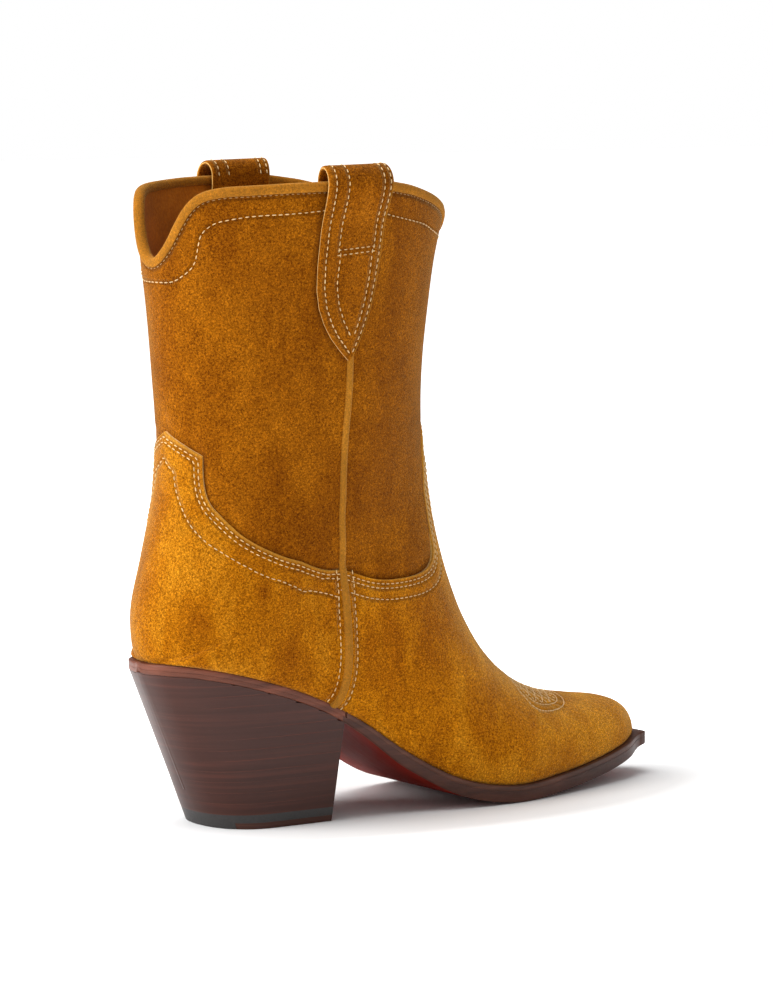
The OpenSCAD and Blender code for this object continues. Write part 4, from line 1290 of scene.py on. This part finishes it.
    def build_straps(self) -> None:
        """Makes both pull straps: a folded band over the collar with a pointed outer leg."""
        path = self.strap_path()
        k = np.arange(len(path), dtype=float)
        j = np.concatenate([[-1, -0.985, -0.95, -0.9], np.linspace(-0.84, 0.84, 21), [0.9, 0.95, 0.985, 1]])
        edge = np.clip((1 - np.abs(j)) / 0.06, 0, 1)
        over = 0.62 + 0.38 * np.sqrt(1 - (1 - edge) ** 2)
        kk, jj = np.meshgrid(k, j, indexing="ij")
        half = self.strap_half(kk, path)
        crown = np.broadcast_to(over[None], kk.shape)
        for side in Side:
            outer = self.last.placed(self.strap_point(kk, jj * half, crown, side, path))
            inner = self.last.placed(self.strap_point(kk, jj * half, 1 - crown, side, path))
            name = f"pull_strap_{side.name.lower()}"
            piece = sheet(name + "_suede", outer, inner, [self.paints["suede_trim"], self.paints["raw"]], 1, 0)
            settle(piece, "suede", name)

    def build_piping(self) -> None:
        """Makes the flattened roll over each side seam."""
        f = np.linspace(0, 2, 260)
        s = np.minimum(f, 1)
        t = np.where(f <= 1, T_SIDE + (T_CROSS - T_SIDE) * rise(s), T_CROSS + (19.78 - T_CROSS) * (f - 1))
        g = np.where(f <= 1, SEAM_GIRTH * s, look(SEAM, t))
        for _ in range(60):
            g[1:-1] = (g[:-2] + 2 * g[1:-1] + g[2:]) / 4
            t[1:-1] = (t[:-2] + 2 * t[1:-1] + t[2:]) / 4
        p = self.last.skin(t, g)
        up = self.last.outward(t, g)
        run = np.gradient(p, axis=0)
        run /= np.linalg.norm(run, axis=1, keepdims=True)
        across = np.cross(up, run)
        across /= np.linalg.norm(across, axis=1, keepdims=True)
        lift = PROUD * (1 - ease((t - T_CROSS) / 0.5))
        hw = np.interp(f, (0, 0.9, 1.1, 2), (1.95, 1.9, 1.7, 1.65))
        high = np.interp(f, (0, 1, 1.15, 2), (1.15, 1.15, 1.0, 1.0))
        a = np.linspace(0, np.pi, 13)
        shape_x, shape_y = np.cos(a), np.sin(a) ** 0.75
        base = p + up * (lift - 0.25)[:, None]
        ring = base[:, None] + across[:, None] * (hw[:, None] * shape_x[None])[..., None] \
            + up[:, None] * ((high + 0.25)[:, None] * shape_y[None])[..., None]
        for side in Side:
            r = ring
            if side is Side.INNER:
                r = np.stack([ring[..., 0], 2 * self.last.swing(ring[..., 0]) - ring[..., 1], ring[..., 2]], -1)
            name = f"side_piping_{side.name.lower()}"
            piece = sweep(name + "_suede", self.last.placed(r), [self.paints["suede_trim"]])
            store(piece, "seam", np.full(len(piece.data.vertices), 99.0))
            store(piece, "rim", np.full(len(piece.data.vertices), 0.9))
            settle(piece, "suede", name)

    def collar_frames(self, n: int = 420) -> tuple[Grid, Grid, Grid]:
        """Edge points of the collar all round with their outward and upward directions."""
        a = 4 * np.arange(n) / n
        b = np.where(a <= 2, a, 4 - a)
        t = np.where(b <= 1, look(COLLAR_BACK, b), look(COLLAR_FRONT, b - 1))
        for _ in range(8):
            t = (np.roll(t, 1) + 2 * t + np.roll(t, -1)) / 4
        gs = seam_share(t)
        g = np.where(b <= 1, b * gs, gs + (b - 1) * (1 - gs))
        g = np.where(a <= 2, g, np.where(b <= 1, -g, 2 - g))
        p, out = self.last.skin(t, g), self.last.outward(t, g)
        run = np.roll(p, -2, 0) - np.roll(p, 2, 0)
        up = np.cross(run, out)
        up /= np.linalg.norm(up, axis=1, keepdims=True)
        up = np.where(up[:, 2:3] < 0, -up, up)
        return p, out, up

    def build_binding(self) -> StitchRuns:
        """Makes the rolled collar binding and plans the small stitches along its lower edge."""
        p, out, up = self.collar_frames()
        inside = -LEATHER - LINING - 0.06
        profile = ((-0.3, -2.6), (0.3, -2.85), (0.8, -2.65), (1.1, -2.1), (1.2, -1.2), (1.1, -0.4), (0.85, 0.25),
                   (0.3, 0.75), (-0.6, 1.0), (inside / 2, 1.1), (inside + 0.5, 0.95), (inside - 0.35, 0.5),
                   (inside - 0.75, -0.2), (inside - 0.85, -1.2), (inside - 0.8, -2.1), (inside - 0.6, -2.7),
                   (inside - 0.2, -2.9), (inside + 0.2, -2.7), (inside + 0.2, -0.2), (-0.3, -0.2))
        wobble = 1 + 0.05 * np.sin(np.arange(len(p)) * 0.23) * np.sin(np.arange(len(p)) * 0.071 + 1)
        ring = np.stack([p + out * (c[0] * (wobble[:, None] if c[0] > 0 else 1)) + up * c[1] for c in profile], 1)
        piece = sweep("collar_binding_suede", self.last.placed(ring), [self.paints["suede_trim"]], closed=True)
        store(piece, "seam", np.full(len(piece.data.vertices), 99.0))
        store(piece, "rim", np.full(len(piece.data.vertices), 1.1))
        settle(piece, "suede_binding", "collar_binding")
        runs = StitchRuns("stitches_binding", "suede_binding", pitch_mm=2.3, length_mm=1.5, width_mm=0.42)
        at = p + up * -3.3 + out * 0.02
        at = np.concatenate([at, at[:1]])
        runs.add(self.last.placed(at), np.concatenate([out, out[:1]]))
        return runs

    def plan_painted_shades(self) -> None:
        """Notes the edges that lie on the shaft, where painted shade darkens it: counter, vamp, piping, binding and
        straps.
        """
        last = self.last
        rim = self.vamp_line[:, [1, 0]]
        for line in (self.counter_line[:, :2], rim):
            for mirror in (False, True):
                way = line * (1, -1) + ((0, 2) if line is rim else (0, 0)) if mirror else line
                fine = spread(last, way, 0.8)
                PAINTED_SHADES.add(last.placed(last.skin(fine[:, 0], fine[:, 1])))
        path = self.strap_path()
        k = np.linspace(0, 12 * 4, 120)
        t = np.linspace(T_CROSS, 22.9, 160)
        for side in Side:
            for sign in (-1, 1):
                beside = sign * (self.strap_half(k, path) + 0.3)
                PAINTED_SHADES.add(last.placed(self.strap_point(k, beside, 0 * k, side, path)))
            roll = last.skin(t, look(SEAM, t))
            if side is Side.INNER:
                roll = np.stack([roll[..., 0], 2 * last.swing(roll[..., 0]) - roll[..., 1], roll[..., 2]], -1)
            PAINTED_SHADES.add(last.placed(roll))
        p, _, up = self.collar_frames()
        PAINTED_SHADES.add(last.placed(p - up * 2.6))

    def build(self) -> None:
        """Makes every piece of the upper, stitches first."""
        runs = self.plan_stitches()
        self.plan_painted_shades()
        runs.append(self.build_binding())
        # The counter and vamp wear the lighter painted copies of the suede.
        settle(sheet("counter_suede", self.counter_grid(PROUD, rounded_edge=True), self.counter_grid(PROUD - LEATHER),
                     self.hides("suede_counter_painted_lighter")), "suede", "counter_foxing")
        settle(sheet("vamp_suede", self.vamp_grid(PROUD, True), self.vamp_grid(PROUD - LEATHER),
                     self.hides("suede_vamp_painted_lighter")), "suede", "vamp")
        for front, name in ((False, "shaft_back"), (True, "shaft_front")):
            settle(sheet(name + "_suede", self.shaft_grid(front, 0), self.shaft_grid(front, -LEATHER), self.hides(),
                         painted_shades=True), "suede", name)
            d = -LEATHER - GAP
            part = sheet(f"shaft_lining_{'front' if front else 'back'}_hide", self.shaft_grid(front, d, 40, 60),
                         self.shaft_grid(front, d - LINING, 40, 60), [self.paints["lining"]] * 1, 0, 0, False)
            settle(part, "lining_leather", f"shaft_lining_{'front' if front else 'back'}")
            d = PROUD - 2 * LEATHER - GAP
            name = "vamp_lining" if front else "heel_lining"
            part = sheet(name + "_hide", self.lining_grid(front, d), self.lining_grid(front, d - LINING),
                         [self.paints["lining"]], 0, 0, False)
            settle(part, "lining_leather", name)
        self.build_piping()
        self.build_straps()
        for run in runs:
            run.sew(self.paints["thread_dark" if run.name == "stitches_binding" else "thread"])


def inside_ring(ring: np.ndarray, x: Grid, y: Grid) -> Grid:
    """Whether points lie inside a closed ring."""
    inside = np.zeros(len(x), bool)
    for (x0, y0), (x1, y1) in zip(ring, np.roll(ring, -1, 0)):
        hit = (y0 > y) != (y1 > y)
        inside ^= hit & (x < (x1 - x0) * (y - y0) / (y1 - y0 + 1e-12) + x0)
    return inside


# --------------------------------------------------------------------------- bottom and heel
@dataclass
class Bottom:
    """Welt, rand, sole, heel lifts and top piece."""

    last: Last
    paints: dict[str, bpy.types.Material]
    outsole: float = 4.9
    top_piece: float = 6.0
    insert: float = 2.6
    lifts: int = 13
    heel_rear: float = 32.0
    heel_front: float = 81.5
    heel_half: float = 24.6
    heel_round: float = 21.0

    @property
    def seat_depth(self) -> float:
        """From the sole edge down to the top of the heel."""
        return WELT + 2.0 + 2 * GAP

    def depth(self, t: Grid) -> Grid:
        """Thickness of the outsole."""
        a = self.outsole - 1.3 + 1.3 * ease(t / 4)
        return a + (2.0 - a) * ease((t - 8.0) / 1.7)

    def edge_stations(self, t0: float, t1: float, n: int) -> np.ndarray:
        """Stations from t0 to t1, closer together at the heel's back."""
        f = np.linspace(0, 1, n)
        return t0 + (t1 - t0) * (f ** 1.8 if t0 > 13 else f)

    def ribbon(self, name: str, stations: np.ndarray, slot: str, paint: bpy.types.Material, node: str,
               top: float = 0.0) -> None:
        """A strip of leather that follows the sole edge from one side round to the other.

        Args:
            name: Piece name.
            stations: From the open end to the toe or the back.
            slot: Material slot, not used.
            paint: Its material.
            node: CAD node that it stands for.
            top: Rise of its top face.
        """
        profile = ((-8.0, -top), (-2.0, -top), (-0.75, -top), (-0.35, -top + 0.08), (-0.1, -top + 0.28),
                   (0.0, -top + 0.7),
                   (0.0, WELT - 0.25), (-0.12, WELT), (-2.0, WELT), (-8.0, WELT))

        def half(side: Side) -> Grid:
            """Cross sections along one side."""
            e = ledge(stations)
            return np.stack([self.last.foot_edge(stations, (e + p[0]) if p[0] > -7 else -8.0, p[1], side)
                             for p in profile], 1)
        ring = np.concatenate([half(Side.OUTER), half(Side.INNER)[::-1]])
        settle(sweep(name, self.last.placed(ring), [paint]), slot, node)

    def slab(self, name: str, rows: Grid, mats: Sequence[bpy.types.Material], slot: str, nodes: Sequence[str],
             pick: Callable[[int, int], int] | None = None) -> bpy.types.Object:
        """A closed body through rows of outline points."""
        piece = sweep(name, self.last.placed(rows), mats, face_mat=pick)
        settle(piece, slot, *nodes)
        return piece

    def build_outsole(self) -> None:
        """Makes the sole: dark waxed edge, lighter seat strip, painted underside."""
        t = np.concatenate([self.edge_stations(T_BACK, 10.0, 60), np.linspace(9.95, 0.3, 150), np.linspace(0.28, 0, 8)])
        e, dep = ledge(t), self.depth(t)
        r = np.minimum(0.8, dep * 0.3)
        top, low = WELT + GAP, WELT + GAP + dep
        sides = ((-0.0, top + 0 * t), (0.0, low - r), (-0.12, low - 0.45 * r), (-0.42, low - 0.1 * r), (-0.95, low))
        cols: list[Grid] = []
        for de, dz in sides:
            cols.append(self.last.foot_edge(t, e + de, dz, Side.INNER))
        a, b = cols[-1], self.last.foot_edge(t, e - 0.95, low, Side.OUTER)
        for f in np.linspace(0, 1, 9)[1:-1]:
            cols.append(a + (b - a) * f)
        for de, dz in reversed(sides):
            cols.append(self.last.foot_edge(t, e + de, dz, Side.OUTER))
        a, b = cols[-1], cols[0]
        for f in np.linspace(0, 1, 5)[1:-1]:
            cols.append(a + (b - a) * f)
        rows = np.stack(cols, 1)

        def pick(i: int, j: int) -> int:
            """Waxed edge, painted underside, or the rand's colour round the heel."""
            if 4 <= j <= 11:
                return 1
            return 2 if t[min(i, len(t) - 1)] > T_BREAST + 0.1 else 0
        self.slab("outsole_leather", rows, [self.paints["sole_edge"], self.paints["sole_under"], self.paints["rand"]],
                  "sole_leather", ["outsole_board"], pick)

    def heel_top(self, u: Grid, side: Side) -> Grid:
        """Edge of the seat over the heel, u from the back to the breast."""
        t = T_BACK + (T_BREAST - T_BACK) * np.asarray(u, float) ** 2.0
        return self.last.foot_edge(t, 1.2 + 1.8 * ease((t - 11.2) / 2.4), self.seat_depth, side)

    def heel_foot(self, u: Grid, side: Side) -> Grid:
        """Edge of the heel on the ground."""
        a, b = self.heel_top(np.array(0.0), side)[0], self.heel_top(np.array(1.0), side)[0]
        f = (self.heel_top(u, side)[..., 0] - a) / (b - a)
        x = self.heel_rear + (self.heel_front - self.heel_rear) * f
        bend = 1 - np.minimum(1, (x - self.heel_rear) / self.heel_round)
        y = self.heel_half * (1 - bend ** 2.2) ** (1 / 2.2) + 0.9 * f
        return np.stack([x, side.value * np.maximum(y, 0.5), 0 * x], -1)

    def heel_point(self, u: Grid, z: Grid, side: Side) -> Grid:
        """Point of the heel's side at height z."""
        a, b = self.heel_foot(u, side), self.heel_top(u, side)
        return a + (b - a) * (np.asarray(z) / b[..., 2])[..., None]

    def block(self, z0: float, z1: float, first: float = 0.0, end: float | None = None, round_: float = 0.0) -> Grid:
        """Rows of one heel layer.

        Args:
            z0: Height of its lower face.
            z1: Height of its upper face.
            first: Where it starts, from the back.
            end: Where it ends, or None for as far as the seat allows.
            round_: Rounding of its lower edge.

        Returns:
            Closed outlines, one for each row.
        """
        grid = np.linspace(0, 1, 400)
        free = grid[self.heel_top(grid, Side.INNER)[:, 2] >= z0 + 0.35]
        stop = end if end is not None else (free.max() if len(free) else 0.02)
        u = first + (stop - first) * np.linspace(0, 1, 56)
        top = np.minimum(z1, self.heel_top(u, Side.INNER)[:, 2])
        heights = [top, z0 + (top - z0) * 0.5, z0 + round_ + 0 * u] + ([z0 + 0 * u] if round_ else [])
        cols = []
        for n, z in enumerate(heights):
            p = self.heel_point(u, z, Side.INNER)
            if round_ and n == len(heights) - 1:
                p = p * (1, 0.985, 1)
            cols.append(p)
        for n, z in enumerate(reversed(heights)):
            p = self.heel_point(u, z, Side.OUTER)
            if round_ and n == 0:
                p = p * (1, 0.985, 1)
            cols.append(p)
        return np.stack(cols, 1)

    def build_heel(self) -> None:
        """Makes the lifts one by one, the rubber top piece and the leather let into it."""
        lift = (self.heel_top(np.array(0.0), Side.INNER)[2] - self.top_piece) / self.lifts
        for k in range(1, self.lifts + 1):
            rows = self.block(self.top_piece + lift * (k - 1) + 0.001, self.top_piece + lift * k)
            self.slab(f"heel_lift_{k:02d}_leather", rows, [self.paints["stack"]], "stacked_leather",
                      [f"heel_lift_{k:02d}"])
        upper = self.block(self.insert, self.top_piece)
        lower = self.block(0.0, self.insert, 0.0, 0.60)
        self.slab("top_piece_rubber_upper", upper, [self.paints["rubber"]], "top_rubber", ["top_piece_rubber"])
        self.slab("top_piece_rubber_lower", lower, [self.paints["rubber"]], "top_rubber", [])
        self.slab("top_piece_leather_insert", self.block(0.0, self.insert - GAP, 0.604, 1.0), [self.paints["insert"]],
                  "stacked_leather", ["top_piece_leather"])

    def build(self) -> None:
        """Makes every piece below the upper that shows, and dresses the hidden ones."""
        self.ribbon("welt_leather", self.edge_stations(T_BREAST - 0.03, 0.0, 170), "edge_leather", self.paints["welt"],
                    "welt_strip")
        self.ribbon("rand_leather", self.edge_stations(T_BACK, T_BREAST, 90)[::-1], "rand_leather", self.paints["rand"],
                    "heel_rand")
        self.build_outsole()
        self.build_heel()
        inset_by = -(LEATHER * 2 - PROUD + LINING + 0.7)
        t = np.concatenate([np.linspace(13.6, 11.5, 30), np.linspace(11.4, 1.9, 60)])
        cols = []
        for e, dz in ((inset_by, -2.42), (inset_by, -3.3), (inset_by - 0.4, -3.6)):
            cols.append(self.last.foot_edge(t, e, dz, Side.INNER))
        for f in (0.25, 0.5, 0.75):
            cols.append(cols[2] + (self.last.foot_edge(t, inset_by - 0.4, -3.6, Side.OUTER) - cols[2]) * f)
        for e, dz in ((inset_by - 0.4, -3.6), (inset_by, -3.3), (inset_by, -2.42)):
            cols.append(self.last.foot_edge(t, e, dz, Side.OUTER))
        self.slab("sock_lining_hide", np.stack(cols, 1), [self.paints["lining"]], "lining_leather", ["sock_lining"])
        for node, paint in (("heel_stiffener", "board"), ("toe_puff", "board"), ("insole", "board"),
                            ("forepart_filler", "cork"), ("shank", "steel")):
            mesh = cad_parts[node].data
            mesh.materials.clear()
            mesh.materials.append(self.paints[paint])


# --------------------------------------------------------------------------- stage
@dataclass
class Studio:
    """Pale floor that glows away from the boot, soft lamps and the camera."""

    eye: tuple[float, float, float] = (-933.55, -1515.0, 326.57)
    aim: tuple[float, float, float] = (127.26, 0.0, 128.92)
    lens: float = 158.41
    sky: float = 0.40
    side_watts: float = 34.0
    top_watts: float = 46.0

    def lamp(self, name: str, at: Sequence[float], size: float, power: float, aim: Sequence[float]) -> None:
        """One square soft lamp.

        Args:
            name: Its name.
            at: Place in metres.
            size: Side in metres.
            power: Watts.
            aim: Point it looks at.
        """
        data = bpy.data.lights.new(name, "AREA")
        data.shape, data.size, data.energy = "SQUARE", size, power
        lamp = bpy.data.objects.new(name, data)
        lamp.location = at
        lamp.rotation_euler = (Vector(aim) - Vector(at)).to_track_quat("-Z", "Y").to_euler()
        bpy.context.scene.collection.objects.link(lamp)

    def build(self, last: Last) -> None:
        """Sets the stage.

        Args:
            last: For the place of the row's frame.
        """
        scene = bpy.context.scene
        eye, aim = last.placed(np.array(self.eye)), last.placed(np.array(self.aim))
        data = bpy.data.cameras.new("camera")
        data.lens, data.sensor_width, data.sensor_fit = self.lens, 36.0, "AUTO"
        data.clip_end = 60
        camera = bpy.data.objects.new("camera", data)
        camera.location = eye.tolist()
        camera.rotation_euler = Vector((aim - eye).tolist()).to_track_quat("-Z", "Y").to_euler()
        scene.collection.objects.link(camera)
        scene.camera = camera
        p = Paint("studio floor")
        # Painted light: the floor glows, not at all within 0.145 of the boot's middle (measured with y stretched 2.2
        # times) and fully from 0.245 on, so the cast shadow stays short and close.
        away = p.node("ShaderNodeVectorMath", operation="LENGTH")
        p.link(p.stretched((1.0, 2.2, 1.0)), away.inputs[0])
        glow = p.math("MULTIPLY", p.math("DIVIDE", p.math("SUBTRACT", away.outputs["Value"], 0.145), 0.10, True), 0.85)
        floor_paint = p.finish((0.87, 0.87, 0.87), 0.8, Specular_IOR_Level=0.1,
                               Emission_Color=(1.0, 1.0, 1.0, 1.0), Emission_Strength=glow)
        floor = new_object("studio_floor", np.array([(-8, -8, 0), (8, -8, 0), (8, 8, 0), (-8, 8, 0)]) - (0, 0, 0.0001),
                           [(0, 1, 2, 3)], [floor_paint])
        world = bpy.data.worlds.new("soft room")
        world.use_nodes = True
        tree = world.node_tree
        way, split = tree.nodes.new("ShaderNodeTexCoord"), tree.nodes.new("ShaderNodeSeparateXYZ")
        sky = tree.nodes.new("ShaderNodeValToRGB")
        sky.color_ramp.elements[0].position, sky.color_ramp.elements[0].color = 0.06, (1.0, 1.0, 1.0, 1.0)
        sky.color_ramp.elements[1].position, sky.color_ramp.elements[1].color = 0.16, (self.sky,) * 3 + (1.0,)
        tree.links.new(way.outputs["Generated"], split.inputs[0])
        tree.links.new(split.outputs["Z"], sky.inputs[0])
        tree.links.new(sky.outputs[0], tree.nodes["Background"].inputs["Color"])
        tree.nodes["Background"].inputs["Strength"].default_value = 1.0
        scene.world = world
        self.lamp("side", (-1.75, 0.45, 0.95), 1.2, self.side_watts, (0, 0, 0.12))
        self.lamp("top", (-0.6, 0.3, 1.95), 1.7, self.top_watts, (0, 0, 0.05))
        scene.view_settings.view_transform = "Standard"
        scene.view_settings.look = "None"
        scene.view_settings.exposure = 0.0


def finishes() -> dict[str, bpy.types.Material]:
    """Every material of the boot, by short name."""
    return {
        "suede": Suede("ochre suede").build(),
        # Painted light: the counter and vamp take lighter copies of the shaft suede that stand in for light falling on
        # them; the counter's copy is a little darker since the side lamp reaches it.
        "suede_counter_painted_lighter": Suede("ochre suede counter painted lighter", (0.205, 0.056, 0.0012), (0.305, 0.098, 0.0020), (0.41, 0.155, 0.0060),
                            sheen=0.55).build(),
        "suede_vamp_painted_lighter": Suede("ochre suede vamp painted lighter", (0.255, 0.074, 0.0014), (0.360, 0.120, 0.0024), (0.48, 0.188, 0.0075),
                            sheen=0.55).build(),
        "suede_trim": Suede("ochre suede trim", mid=(0.215, 0.062, 0.0016), light=(0.30, 0.095, 0.004)).build(),
        "raw": RawEdge().build(),
        "lining": LiningHide().build(),
        "thread": Thread().build(),
        "thread_dark": Thread("tan thread", (0.42, 0.22, 0.05)).build(),
        "stack": StackedLeather().build(),
        "insert": StackedLeather("insert leather", (0.055, 0.02, 0.013), (0.12, 0.045, 0.028), 0.45).build(),
        "welt": EdgeLeather("waxed welt", (0.085, 0.032, 0.019)).build(),
        "rand": EdgeLeather("waxed rand", (0.115, 0.034, 0.018), 0.4).build(),
        "sole_edge": EdgeLeather("waxed sole edge", (0.060, 0.020, 0.012), 0.4).build(),
        "sole_under": SolePaint().build(),
        "rubber": Plain("black rubber", (0.018, 0.015, 0.014), 0.5, scale=900).build(),
        "cork": Plain("cork filler", (0.36, 0.22, 0.11), 0.9, scale=450).build(),
        "board": Plain("fibre board", (0.50, 0.38, 0.22), 0.85, scale=800).build(),
        "steel": Plain("shank steel", (0.55, 0.56, 0.58), 0.35, 1.0, 1200).build(),
    }


def main() -> None:
    """Builds the boot from the sole up and sets it on the stage."""
    logging.basicConfig(level=logging.INFO, format="%(message)s")
    last = Last()
    paints = finishes()
    Upper(last, paints).build()
    Bottom(last, paints).build()
    Studio().build(last)


if __name__ == "__main__":
    main()
